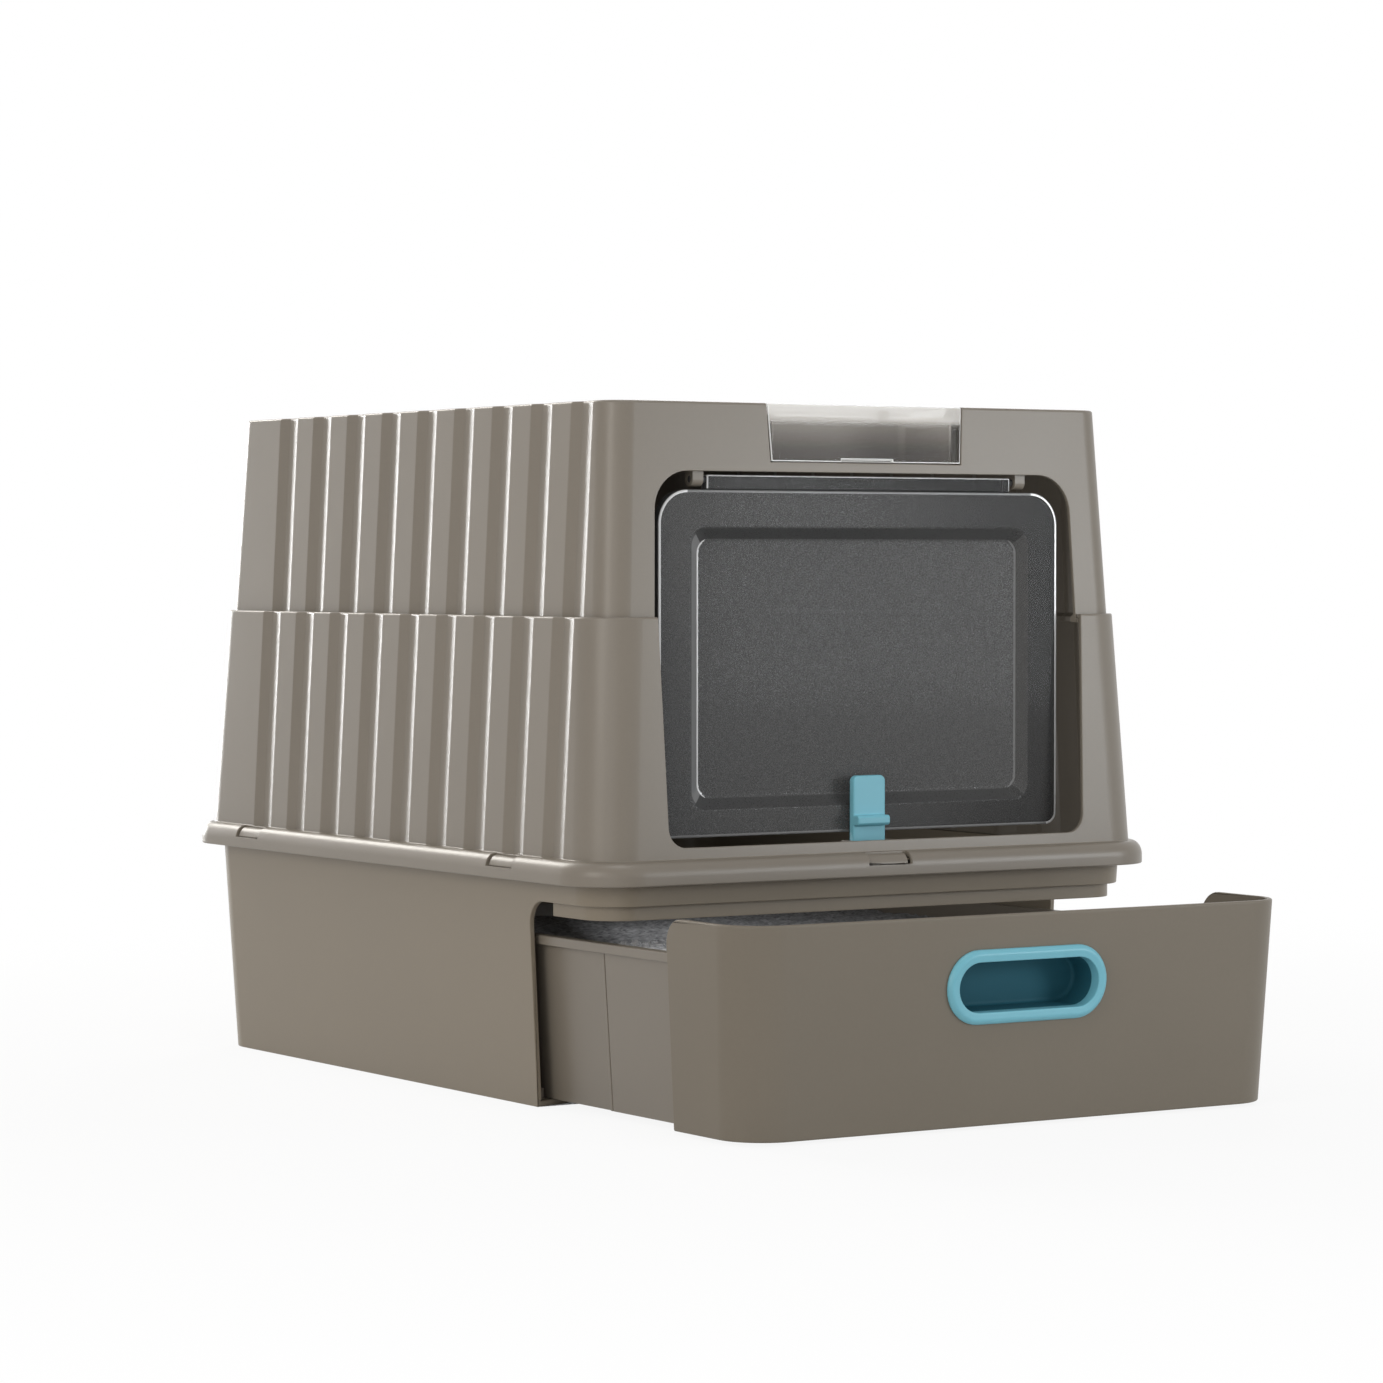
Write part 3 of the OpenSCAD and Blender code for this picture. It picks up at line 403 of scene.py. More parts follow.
def along(wire, place, axis, start, end):
    """0 before the start and 1 beyond the end, along an axis of the frame."""
    value = wire.node("ShaderNodeSeparateXYZ", {}, {"Vector": place}, output="xyz".index(axis))
    return wire.node("ShaderNodeMapRange", {"interpolation_type": "SMOOTHSTEP"},
                     {"Value": value, "From Min": start, "From Max": end})


print("shader values are ready")

# %% [markdown]
# ## Moulded plastic
# Polypropylene from an etched mould has three things that a flat colour lacks: a grain of about
# half a millimetre that breaks up highlights, a slow drift of colour where the melt flowed, and a
# sheen that varies with the grain's depth. One function makes all three, and the colour and sheen
# are its arguments, so the taupe shell and the blue handles stay one family. The freshener pan is
# a darker taupe as painted shade, and it turns lighter towards its top as painted light, where
# daylight falls in through the clear cover.

# %% Opaque plastics
CELL_SCALE, SPECK_SCALE, CLOUD_SCALE = 1600.0, 420.0, 9.0


def moulded(name, colour, sheen, grain=0.5, drift=0.08, gloss=0.42, far=None):
    """Etched plastic; far is an axis, where a second colour starts and is full, and that colour."""
    material, wire, shader = principled(name)
    place = spot_on(wire)
    cells = grains(wire, place, CELL_SCALE, 3.0)
    cloud = grains(wire, place, CLOUD_SCALE, 2.0)
    speck = grains(wire, place, SPECK_SCALE, 1.0)
    tone = (0.5 * cloud + 0.2 * speck + 0.3 * cells).mix(*shades(colour, drift))
    if far:
        tone = along(wire, place, *far[:3]).mix(tone, far[3])
    feed(shader, Base_Color=tone, Roughness=sheen - 0.05 + 0.06 * cloud + 0.05 * speck,
         Normal=dents(wire, cells, grain), Specular_IOR_Level=gloss)
    return material


taupe = moulded("taupe_plastic", linear(130, 122, 111), sheen=0.34)
base_taupe = moulded("base_plastic", linear(137, 127, 112), sheen=0.38, gloss=0.3)
# Painted shade: the drawer's front is a touch darker than the shell, for the lesser light its face
# gets.
front_taupe_painted_shade = moulded("front_plastic_painted_shade", linear(128, 120, 108), sheen=0.42, gloss=0.16)
teal = moulded("teal_plastic", linear(120, 190, 207), sheen=0.36, grain=0.3, drift=0.03)
# Painted light: the pan is darker than the shell as painted shade, and lighter above z 0.366 m as
# painted light from the clear cover.
pan_taupe_painted_light = moulded("pan_plastic_painted_light", linear(102, 96, 91), sheen=0.55, gloss=0.2,
                    far=("z", 0.366, 0.389, linear(196, 189, 180)))
# Painted shade: the pull's cup is a darker teal than its frame, for the shade deep inside it.
cup_teal_painted_shade = moulded("cup_plastic_painted_shade", linear(42, 96, 111), sheen=0.6, grain=0.3, drift=0.03, gloss=0.2)
OPAQUE = (taupe, base_taupe, front_taupe_painted_shade, teal, pan_taupe_painted_light, cup_teal_painted_shade)
print("opaque plastics:", ", ".join(material.name for material in OPAQUE))

# %% [markdown]
# ## See-through plastics
# The door is smoke-tinted and lightly frosted, and the freshener cover is clear. A refracting
# glass shader on thin double walls turns black at the rims unless it gets many bounces, so both
# use a see-through alpha with a glossy coat, which also survives export. Seen edge on, a clear
# sheet shows more of itself, so a Layer Weight makes the edges more solid. Folds and rims of a
# clear sheet gather light into dark and bright lines, and these are painted in: darker greys are
# painted shade and lighter greys are painted highlights, and some greys turn darker towards one
# side as painted shade.

# %% Clear and smoke plastics
FROST_SCALE = 1300.0


def see_through(name, colour, face_alpha, edge_alpha, rough, frost=0.0, gloss=0.3, far=None):
    """Clear plastic; far is as for moulded(), with the alpha there as its last value."""
    material, wire, shader = principled(name)
    place = spot_on(wire)
    cells = grains(wire, place, FROST_SCALE, 2.0)
    edge = wire.node("ShaderNodeLayerWeight", {}, {"Blend": 0.35}, output="Facing")
    tone = cells.mix(*shades(colour, 0.5 * frost))
    alpha = face_alpha + (edge_alpha - face_alpha) * edge + 0.04 * (cells - 0.5)
    if far:
        beyond = along(wire, place, *far[:3])
        tone = beyond.mix(tone, far[3])
        alpha = alpha + (far[4] - face_alpha) * beyond
    feed(shader, Base_Color=tone, Alpha=alpha,
         Roughness=rough + frost * 0.2 * cells, Specular_IOR_Level=gloss,
         Normal=dents(wire, cells, frost), Coat_Weight=0.5 * gloss, Coat_Roughness=0.08)
    return material


SMOKED = {"rough": 0.4, "frost": 0.8, "gloss": 0.12}
CLEAR = {"colour": linear(150, 146, 140), "face_alpha": 0.02, "edge_alpha": 0.35, "rough": 0.1}
smoke = see_through("smoke_plastic", grey(98), 0.68, 0.92, **SMOKED)
# Painted shade: the door's frame turns darker towards the right, above x -0.03 m, where the cabin
# behind it is darker.
smoke_frame_painted_shade = see_through("smoke_frame_painted_shade", grey(98), 0.68, 0.92,
                          far=("x", -0.03, 0.12, grey(64), 0.68), **SMOKED)
# Painted shade: the hinge bar turns darker towards the right as well.
smoke_bar_painted_shade = see_through("smoke_bar_painted_shade", grey(84), 0.7, 0.92,
                        far=("x", -0.06, 0.1, grey(56), 0.7), **SMOKED)
# Painted light on the door: a darker grey for the shade in its folds, a lighter one for faint
# highlights, and a near-white one for bright highlights on rims and edges.
smoke_fold_painted_shade = see_through("smoke_fold_painted_shade", grey(72), 0.8, 0.95, rough=0.4, frost=0.6, gloss=0.12)
smoke_faint_highlight = see_through("smoke_faint_highlight", grey(130), 0.8, 0.95, rough=0.3)
smoke_painted_highlight = see_through("smoke_painted_highlight", grey(228), 0.9, 0.95, rough=0.12, gloss=1.0)
clear = see_through("clear_plastic", **CLEAR)
# Painted light on the cover: its front face turns lighter and more solid above z 0.38 m, and its
# rounded edges get a near-white painted highlight.
clear_front_painted_light = see_through("clear_front_painted_light", **CLEAR,
                          far=("z", 0.38, 0.386, linear(202, 195, 186), 0.66))
clear_painted_highlight = see_through("clear_painted_highlight", linear(250, 250, 248), 0.9, 0.95, rough=0.1, gloss=0.8)
print("see-through plastics:", smoke.name, clear.name)

# %% [markdown]
# ## Steel and litter
# The screws are zinc plated, so a metal with a fine change of roughness is enough. Clay litter is
# matt and pitted: lumps of dark and light grey, with a strong bump of grit.

# %% Steel and litter
BRUSH_SCALE, LUMP_SCALE, GRIT_SCALE = 2500.0, 260.0, 1500.0


def zinc_steel():
    material, wire, shader = principled("zinc_steel")
    brush = grains(wire, spot_on(wire), BRUSH_SCALE, 2.0)
    feed(shader, Base_Color=linear(190, 192, 196), Metallic=1.0, Roughness=0.25 + 0.2 * brush)
    return material


def litter(name, dark, light):
    material, wire, shader = principled(name)
    place = spot_on(wire)
    lump = grains(wire, place, LUMP_SCALE, 4.0)
    grit = grains(wire, place, GRIT_SCALE, 4.0)
    tone = wire.node("ShaderNodeValToRGB", {"stops": [(0.3, 0.0), (0.7, 1.0)]}, {"Fac": lump})
    feed(shader, Base_Color=tone.mix(dark, light), Roughness=0.9,
         Normal=dents(wire, grit, 0.8, depth=0.0005))
    return material


steel = zinc_steel()
crumb = litter("litter_crumb", linear(200, 201, 205), linear(252, 252, 253))
bed = litter("litter_bed", linear(120, 121, 124), linear(196, 197, 200))
print("steel and litter:", steel.name, crumb.name, bed.name)

# %% [markdown]
# ## Ribs
# Each side wall carries nine grooves. Going forward, a groove drops on a short straight slope and
# comes back on a long, nearly straight one that ends in a crisp crest and catches a low light. The
# depth is a plain function of the place along the wall, averaged over a millimetre, because a
# steel mould's crests are never sharper than that.

# %% The rib profile
RIBS = 9
RIB_PITCH = 43.8
RIB_FIRST_Y = 167.5
RIB_DEPTH = 3.2
RIB_DROP = 7.5
RIB_RISE = 15.5
RISE_BEND = 1.3
CREST = 0.5


def groove_depth(behind):
    """Depth of a groove at a distance forward of its rear edge."""
    if behind <= 0 or behind >= RIB_DROP + RIB_RISE:
        return 0.0
    if behind <= RIB_DROP:
        return RIB_DEPTH * behind / RIB_DROP
    return RIB_DEPTH * (1 - ((behind - RIB_DROP) / RIB_RISE) ** RISE_BEND)


def worn_depth(behind):
    return float(np.mean([groove_depth(behind + CREST * k / 6) for k in range(-6, 7)]))


CATCH_Y = (-148.5, 162.0)
BESIDE_NOTCH = (14.9, 19.0)
FRONT_X = (14.9, 19.0, 40.0, 80.0, 120.0)


def rib_walk():
    """The side wall from front to rear, as (place, depth)."""
    far = RIB_DROP + RIB_RISE
    around = [-0.75, -0.5, -0.25, 0, 0.25, 0.5, 0.75]
    stops = [bend + e for bend in (0, RIB_DROP, far) for e in around]
    stops += list(np.linspace(RIB_DROP + 1.5, far - 1.5, 9))
    walk = []
    for k in range(RIBS):
        rear = RIB_FIRST_Y - RIB_PITCH * k
        walk += [(rear - s, worn_depth(s)) for s in stops]
    for middle in CATCH_Y:
        for y in [middle + sign * away for away in BESIDE_NOTCH for sign in (-1, 1)]:
            walk.append((y, max(worn_depth(RIB_FIRST_Y - RIB_PITCH * k - y) for k in range(RIBS))))
    return sorted(walk)


WALK = rib_walk()
RIB_REACH = max(abs(WALK[0][0]), abs(WALK[-1][0]))


def plain_ring(half_x, half_y, z, r, ribs=0, steps=12):
    """One level of a plain wall, anticlockwise from above."""
    corners = ((1, -1, -90), (1, 1, 0), (-1, 1, 90), (-1, -1, 180))
    return [(x, y, z) for right, rear, start in corners
            for x, y in arc(right * (half_x - r), rear * (half_y - r), r, start, steps)]


def wall_ring(half_x, half_y, z, r, ribs):
    """One level of a ribbed wall: the corners of a plain one, with the four walls between."""
    squeeze = min(1.0, (half_y - r - 0.3) / RIB_REACH)
    right = [(half_x - ribs * d, squeeze * y, z) for y, d in WALK]
    across = sorted([-x for x in FRONT_X] + list(FRONT_X))
    walls = ([(x, -half_y, z) for x in across], right,
             [(x, half_y, z) for x in reversed(across)],
             [(-x, y, z) for x, y, z in reversed(right)])
    turns = plain_ring(half_x, half_y, z, r)
    n = len(turns) // 4
    return [point for k in range(4) for point in walls[k] + turns[k * n:(k + 1) * n]]


def loft(name, levels, ring, material, closed=True, shift=0.0):
    """A skin through softened levels: half x, half y, height, corner radius, ribs, edge radius."""
    rings = [[(x, y + shift, z) for x, y, z in ring(*row[:5])] for row in soften(levels, closed)]
    return skin(name, rings, material, closed)


def level(half, z, r, ribs=0.0, edge=0.0, inset=0.0):
    return (half[0] - inset, half[1] - inset, z, r, ribs, edge)


print(len(WALK), "points along each ribbed wall")

# %% [markdown]
# ## Lower hood
# The lower tier stands on a rolled flange and ends in a lip that holds the upper tier. It is one
# closed loop of levels, up the outside and down the inside, and then the doorway and the six
# catch notches are cut out of it.

# %% Lower hood
LIP_T = 2.2
FLANGE_R = 35.0
FLANGE_T = 3.0
ROLL_IN = 6.5
ROLL_DOWN = 8.5
CATCH_L = 27.0
CATCH_SUNK = 1.0
CATCH_HOOK = [(7.0, 137.7), (3.2, 137.7), (3.2, 135.1)]
NOTCH_DEEP = 7.6
NOTCH_OUT = 5.0
NEAR_GAP = 0.3
FAR_GAP = 1.0
DOOR_OPEN_W = 290.0


def catch_places():
    """Middle of each catch and its outward direction."""
    places = [(side * flange_half_x, y, (side, 0)) for side in (-1, 1) for y in CATCH_Y]
    return places + [(0, end * flange_half_y, (0, end)) for end in (-1, 1)]


def roll(sunk=0.0, start=0.0):
    """Quarter ellipse of the flange's rolled edge, as (inset, height)."""
    turns = [math.radians(t) for t in np.linspace(start, 90, 10)]
    return [(ROLL_IN - (ROLL_IN - sunk) * math.cos(t),
             flange_top_z - ROLL_DOWN + (ROLL_DOWN - sunk) * math.sin(t)) for t in turns]


def lower_hood():
    flange = np.array([flange_half_x, flange_half_y])
    top, foot = lower_half(seam_z), lower_half(flange_top_z)
    lip = upper_half(seam_z) + 0.4
    under = seam_z - LIP_T
    web_z = base_rim_z + 0.2
    inner_r = base_r - wall_t
    piece = loft("lower_hood_skin", [
        level(flange, flange_low_z, FLANGE_R, 0, 0.8),
        *(level(flange, z, FLANGE_R - inset, 0, 0, inset) for inset, z in roll()),
        level(foot, flange_top_z, base_r, 1, 0.7),
        level(top, seam_z, base_r, 1, 1.5),
        level(lip, seam_z, upper_r + 0.4, 1, 0.6),
        level(lip, under, upper_r + 0.4, 1, 0.3),
        level(lower_half(under), under, inner_r, 1, 0, wall_t),
        level(foot, flange_top_z, inner_r, 1, 0, wall_t),
        (foot[0] - wall_t - RIB_DEPTH, foot[1] - wall_t, web_z, inner_r, 0, 0),
        level(flange, web_z, FLANGE_R - FLANGE_T, 0, 1.0, FLANGE_T),
        level(flange, flange_low_z, FLANGE_R - FLANGE_T, 0, 0.5, FLANGE_T)], wall_ring, taupe)
    half = DOOR_OPEN_W / 2
    cutters = [prism("doorway", panel(half - 2.8, sill_z, 11, half + 0.6, seam_z + 20, 2),
                     "y", -300, -100)]
    near, far = CATCH_L / 2 + NEAR_GAP, CATCH_L / 2 + FAR_GAP
    for x, y, (ox, oy) in catch_places():
        xs = (x - ox * NOTCH_DEEP, x + ox * NOTCH_OUT)
        ys = (y - oy * NOTCH_DEEP, y + oy * NOTCH_OUT)
        low = (min(xs) - near * abs(oy), min(ys) - near * abs(ox))
        high = (max(xs) + far * abs(oy), max(ys) + far * abs(ox))
        cutters.append(block((*low, flange_top_z - 7), (*high, flange_top_z + 1)))
    return round_edges(cut(piece, *cutters), 0.5)


def rim_catch(place, x, y, out):
    """A catch that lies a little deeper than the roll of the flange."""
    outline = roll(CATCH_SUNK, start=14)
    outline += [(CATCH_HOOK[0][0], outline[-1][1])] + CATCH_HOOK
    across = 0 if out[0] else 1
    edge = (x, y)[across]
    outline = [(edge - out[across] * inset, z) for inset, z in outline]
    middle = (x, y)[1 - across]
    piece = prism("rim_catch_" + place + "_skin", outline, "yx"[across],
                  middle - CATCH_L / 2, middle + CATCH_L / 2 - FAR_GAP)
    piece.data.materials[0] = taupe
    return round_edges(piece, 0.4)


lower_skin = lower_hood()
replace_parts(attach(lower_skin, "base"), "lower_hood")
print("lower hood:", len(lower_skin.data.polygons), "faces")

# %% [markdown]
# ## Catches
# Each catch is a short length of the flange's roll with a hook under it, so it is that outline
# drawn out straight. It ends a millimetre short of its notch, which shows as a dark gap.

# %% Catches in their notches
CATCHES = ("left_front", "left_rear", "right_front", "right_rear", "front", "rear")
for place, (x, y, out) in zip(CATCHES, catch_places()):
    piece = rim_catch(place, x, y, out)
    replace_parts(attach(piece, "base"), "rim_catch_" + place)
print(len(CATCHES), "catches")

# %% [markdown]
# ## Upper hood
# The upper tier is a lid with a sunk roof inside a flat border, and its foot hooks under the lower
# tier's lip. The doorway and the window of the freshener pocket are cut from it.

# %% Upper hood
ROOF_BORDER = 16.0
FOOT_FLANGE = 3.0
LUG_Y = -222.8
COVER_W = 134.0
COVER_H = 32.8
COVER_D = 52.0
WINDOW_LEAN = 1.9
cover_low_z = roof_z - COVER_H
cover_back_y = -upper_half(roof_z)[1] + COVER_D


def window(extra):
    """The freshener window's outline, or one that is larger all round."""
    low, high = COVER_W / 2 - WINDOW_LEAN + extra, COVER_W / 2 + extra
    return [(low, cover_low_z - extra), (high, roof_z), (high, roof_z + 9),
            (-high, roof_z + 9), (-high, roof_z), (-low, cover_low_z - extra)]


def upper_hood():
    foot_z = seam_z - 5
    hook_z = seam_z - LIP_T - 0.3
    hook = lower_half(foot_z) - wall_t - 0.6
    hook_r = base_r - wall_t - 0.6
    roof = upper_half(roof_z)
    border = roof - ROOF_BORDER
    inner_r = upper_r - wall_t
    piece = loft("upper_hood_skin", [
        level(border, sunk_z - wall_t, upper_r, 0, 0, 4),
        level(border, sunk_z - wall_t, upper_r, 0, 1, 1.5),
        level(border, roof_z - wall_t, upper_r, 0, 1),
        level(roof, roof_z - wall_t, inner_r, 0.8, 2.5, wall_t),
        level(upper_half(seam_z), seam_z, inner_r, 1, 0.5, wall_t),
        level(upper_half(foot_z), foot_z + 3, inner_r, 1, 0.5, wall_t + FOOT_FLANGE),
        level(upper_half(foot_z), foot_z, inner_r, 1, 0.5, wall_t + FOOT_FLANGE),
        (hook[0], hook[1], foot_z, hook_r, 1, 0.5),
        (hook[0], hook[1], hook_z, hook_r, 1, 0.3),
        level(upper_half(hook_z), hook_z, upper_r, 1, 0.2),
        level(roof, roof_z, upper_r, 1, 1.6),
        level(border, roof_z, upper_r, 0, 1.2),
        level(border, sunk_z, upper_r, 0, 1.5, 2.0),
        level(border, sunk_z, upper_r, 0, 0, 5)], wall_ring, taupe, closed=False)
    half = DOOR_OPEN_W / 2
    doorway = panel(half, seam_z - 15, 2, half - 2.4, lintel_z, 22)
    cut(piece, prism("doorway", doorway, "y", -300, LUG_Y),
        prism("window", window(0.3), "y", -300, cover_back_y))
    return round_edges(piece, 0.5)


upper_skin = upper_hood()
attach(upper_skin, "hood")
print("upper hood:", len(upper_skin.data.polygons), "faces")

# %% [markdown]
# ## Small solids that only need soft edges
# Lugs, pins, rails, the latch and its keeper have the right shape already. A copy of the solid's
# mesh is welded, its coplanar triangles are dissolved, and the Bevel rounds it, which is quicker
# than drawing each again. Where small faces meet, a Bevel may throw a corner out as a spike, so a
# corner that strays from the solid's surface is put back on it.

# %% Rounded copies of solids
STRAY = 0.45 * MM


def rounded_copy(node, name, material, width, segments=2, keep=None):
    """A soft-edged copy of a node's mesh; keep picks the faces to copy by their middle, in mm."""
    source = frame["nodes"][node]
    bm = bmesh.new()
    bm.from_mesh(source.data)
    bmesh.ops.remove_doubles(bm, verts=bm.verts, dist=0.01 * MM)
    if keep:
        outside = [f for f in bm.faces if not keep(f.calc_center_median() / MM)]
        bmesh.ops.delete(bm, geom=outside, context="FACES")
    surface = BVHTree.FromBMesh(bm)
    bmesh.ops.dissolve_limit(bm, angle_limit=math.radians(0.5), verts=bm.verts, edges=bm.edges)
    mesh = bpy.data.meshes.new(name)
    bm.to_mesh(mesh)
    bm.free()
    piece = new_piece(name, mesh, material)
    round_edges(piece, width, segments, from_angle=35)
    for vert in piece.data.vertices:
        nearest, _, _, away = surface.find_nearest(vert.co)
        if away > STRAY:
            vert.co = nearest
    return shade(piece)


SMALL = [("latch_keeper", taupe, 0.4, "body_plastic"), ("door_latch", teal, 0.9, "blue_plastic"),
         ("freshener_pan", pan_taupe_painted_light, 0.5, "body_plastic")]
node_body = {n: b for b, ns in frame["record"]["behaviour"]["bodies"].items() for n in ns}
for node, material, width, slot in SMALL:
    piece = rounded_copy(node, node + "_soft", material, width)
    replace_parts(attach(piece, node_body[node]), node)
print(len(SMALL), "small pieces rounded")

# %% [markdown]
# ## Freshener cover
# The clear cover is a thin lid over the roof's front edge. Its outer block is rounded first, with a
# near-white painted highlight on the rounded edges, and then hollowed, so that no inner edge gets
# that painted highlight. Its front face gets a painted band of light along its top.

# %% Freshener cover
COVER_T = 2.0
COVER_GAP = 0.3
COVER_SUNK = 0.15
TAB_W = 17.5
TAB_H = 1.9


def cover_block(inset):
    """The lid's outer shape, or with an inset the space inside it."""
    foot, top = cover_low_z + COVER_GAP, roof_z - COVER_SUNK - inset
    back = cover_back_y - COVER_GAP - inset
    side = [(-upper_half(z)[1] + inset, z) for z in (foot, top)] + [(back, top), (back, foot)]
    piece = prism("cover_block", side, "x", -COVER_W / 2 - 5, COVER_W / 2 + 5)
    (low_x, low_z), (high_x, high_z) = window(-COVER_GAP - inset)[:2]
    for sign in (-1, 1):
        low, high, away = sign * low_x, sign * high_x, sign * (COVER_W / 2 + 30)
        trim = [(low, low_z - 9), (low, low_z), (high, high_z), (high, high_z + 30),
                (away, high_z + 30), (away, low_z - 9)]
        cut(piece, prism("trim", trim, "y", -300, cover_back_y + 10))
    return piece


def freshener_cover():
    piece = cover_block(0)
    piece.name = "freshener_cover_skin"
    piece.data.materials[0] = clear
    front_y = -upper_half(cover_low_z)[1]
    tab = block((-TAB_W, -400, cover_low_z - 1), (TAB_W, front_y + 1, cover_low_z + TAB_H))
    # The rounded outer edges get the near-white painted highlight.
    round_edges(cut(piece, tab), 0.6, 2, 35, clear_painted_highlight)
    wall_y, rest_z = front_y + COVER_T, sunk_z + 1.6
    under = [(wall_y, cover_low_z - 5), (wall_y, cover_low_z + 1.5),
             (cover_back_y - COVER_T - 8, rest_z), (100, rest_z), (100, cover_low_z - 5)]
    cut(piece, cover_block(COVER_T), prism("under", under, "x", -200, 200))
    # Faces looking straight forward get the band of painted light along the top.
    piece.data.materials.append(clear_front_painted_light)
    for face in piece.data.polygons:
        if face.normal.y < -0.9 and face.material_index == 0:
            face.material_index = len(piece.data.materials) - 1
    return shade(piece)


def on_arm(p):
    return 42 < abs(p.x) < 57 and p.y > cover_back_y - 0.2


cover_skin = freshener_cover()
arms = rounded_copy("freshener_cover", "cover_arms", clear, 0, keep=on_arm)
carry(arms, cover_skin)
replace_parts(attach(cover_skin, "cover"), "freshener_cover")
print("freshener cover:", len(cover_skin.data.polygons), "faces, arms:", len(arms.data.polygons))

# %% [markdown]
# ## Lugs and ears
# The bored lugs of the door and the ears of the cover are picked out of the hood's solid by the
# place of their faces, and ride with the new skin.

# %% Lugs and ears of the upper hood


def in_lug(p):
    """Inside the lugs that carry the door, or the ears that carry the cover."""
    lug = 106 < abs(p.x) < 116 and LUG_Y + 0.1 < p.y < -210 and p.z < lintel_z + 8
    ear = 48 < abs(p.x) < 55 and cover_back_y + 1 < p.y < cover_back_y + 9 and p.z > sunk_z + 0.01
    return lug or ear


lugs = rounded_copy("upper_hood", "hood_lugs", taupe, 0, keep=in_lug)
carry(lugs, upper_skin)
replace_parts(upper_skin, "upper_hood")
print("lugs:", len(lugs.data.polygons), "faces")

# %% [markdown]
# ## Base
# The base is a deep tub whose front is open for the drawer: only a beam crosses above the bay.
# The side walls end at the bay in a line with a rounded upper corner.

# %% Base shell
BASE_LIP = 8.6
BAY_R = 14.0
FLOOR_T = 3.2
FLOOR_BOW = 27.0


def bay_profile():
    """Side view of what the drawer's front closes, as (y, z)."""
    corner = arc(bay_back_y - BAY_R, bay_z - BAY_R, BAY_R, 0)
    return [(-400, -5), (bay_back_y, -5)] + corner + [(-400, bay_z)]


def floor_bow():
    """A cutter that bows the floor's front edge inward."""
    chord = base_half(0)[0]
    radius = (chord ** 2 + FLOOR_BOW ** 2) / (2 * FLOOR_BOW)
    round_outline = arc(0, bay_back_y + FLOOR_BOW - radius, radius, 0, 256, 360)[:-1]
    return prism("floor_bow", round_outline, "z", -5, FLOOR_T + 1)


def base_shell():
    under, rim = base_half(0), base_half(base_rim_z)
    rim_low = base_rim_z - 3
    piece = loft("base_shell_skin", [
        level(under, 0, base_r, 0, 4.2),
        level(base_half(rim_low), rim_low, base_r, 0, 1.0),
        level(rim, rim_low, base_r + BASE_LIP, 0, 0.8, -BASE_LIP),
        level(rim, base_rim_z, base_r + BASE_LIP, 0, 0.8, -BASE_LIP),
        level(rim, base_rim_z, base_r - base_wall_t, 0, 0.8, base_wall_t),
        level(base_half(FLOOR_T), FLOOR_T, base_r - base_wall_t, 0, 3.0, base_wall_t)],
        plain_ring, base_taupe, closed=False)
    cut(piece, prism("bay", bay_profile(), "x", -400, 400), floor_bow())
    return round_edges(piece, 0.5)


base_skin = base_shell()
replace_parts(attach(base_skin, "base"), "base_shell")
print("base:", len(base_skin.data.polygons), "faces")

# %% [markdown]
# ## Inset lip and rails
# A lip hangs inside the bay's upper edge, where it hides the drawer's top edge when shut. It is a
# short loft with the base's own corners, cut off where the bay ends. The drawer's rails are small
# enough to come straight from the solid.

# %% Inset lip and drawer rails
INLIP_SET, INLIP_WEB, INLIP_T = 5.2, 1.0, 2.4
INLIP_DOWN, INLIP_UP = 8.0, 3.0


def inset_lip():
    half, web = base_half(bay_z) - INLIP_SET, base_half(bay_z) - INLIP_WEB
    r, web_r, inner_r = base_r - INLIP_SET, base_r - INLIP_WEB, base_r - INLIP_SET - INLIP_T
    low, high = bay_z - INLIP_DOWN, bay_z + INLIP_UP
    piece = loft("inset_lip", [
        level(half, low, r, 0, 0.5),
        level(half, bay_z, r, 0, 0.5),
        level(web, bay_z, web_r, 0, 0.1),
        level(web, high, web_r, 0, 0.1),
        level(half, high, inner_r, 0, 0.5, INLIP_T),
        level(half, low, inner_r, 0, 0.5, INLIP_T)], plain_ring, base_taupe)
    rear = block((-300, bay_back_y - BAY_R - 4, 50), (300, 300, 200))
    return cut(round_edges(piece, 0.4), rear)


def in_rail(p):
    return 167 < abs(p.x) < 172 and -152 < p.y < 217 and 2.0 < p.z < 10


for piece in (inset_lip(), rounded_copy("base_shell", "drawer_rails", taupe, 0, keep=in_rail)):
    carry(piece, base_skin)
print("inset lip and rails ride with the base")

# %% [markdown]
# ## Door
# The door is a shallow tray of smoke-clear plastic, its rim turned inward and its middle sunk
# behind a rounded step. The rim and the step's turned edges gather light into thin lines, and these
# are painted: by where a face lies on the door's profile and which way it faces, it gets one of five
# greys, with painted highlights on the rim and the step's edges, painted shade on the top and bottom
# folds, and a frame that turns darker towards the right as painted shade.

# %% Door panel
door_low, door_high = box_mm("door_panel")
DOOR_T = 2.0
DOOR_DISH = 4.0
DOOR_FRAME = 21.0
DOOR_FOOT_LESS = 5.7
RIM_LINE = 1.5
BAR_PIN = 9.7
BAR_WALL = 1.5
BAR_HALF = box_mm("door_hinge_bar")[1].x - BAR_PIN


def door_ring(inset, foot, y, low_r, high_r):
    outline = panel(door_high.x - inset, door_low.z + inset - foot, low_r,
                    door_high.x - inset, door_high.z - inset, high_r, 14)
    return [(x, y, z) for x, z in outline]


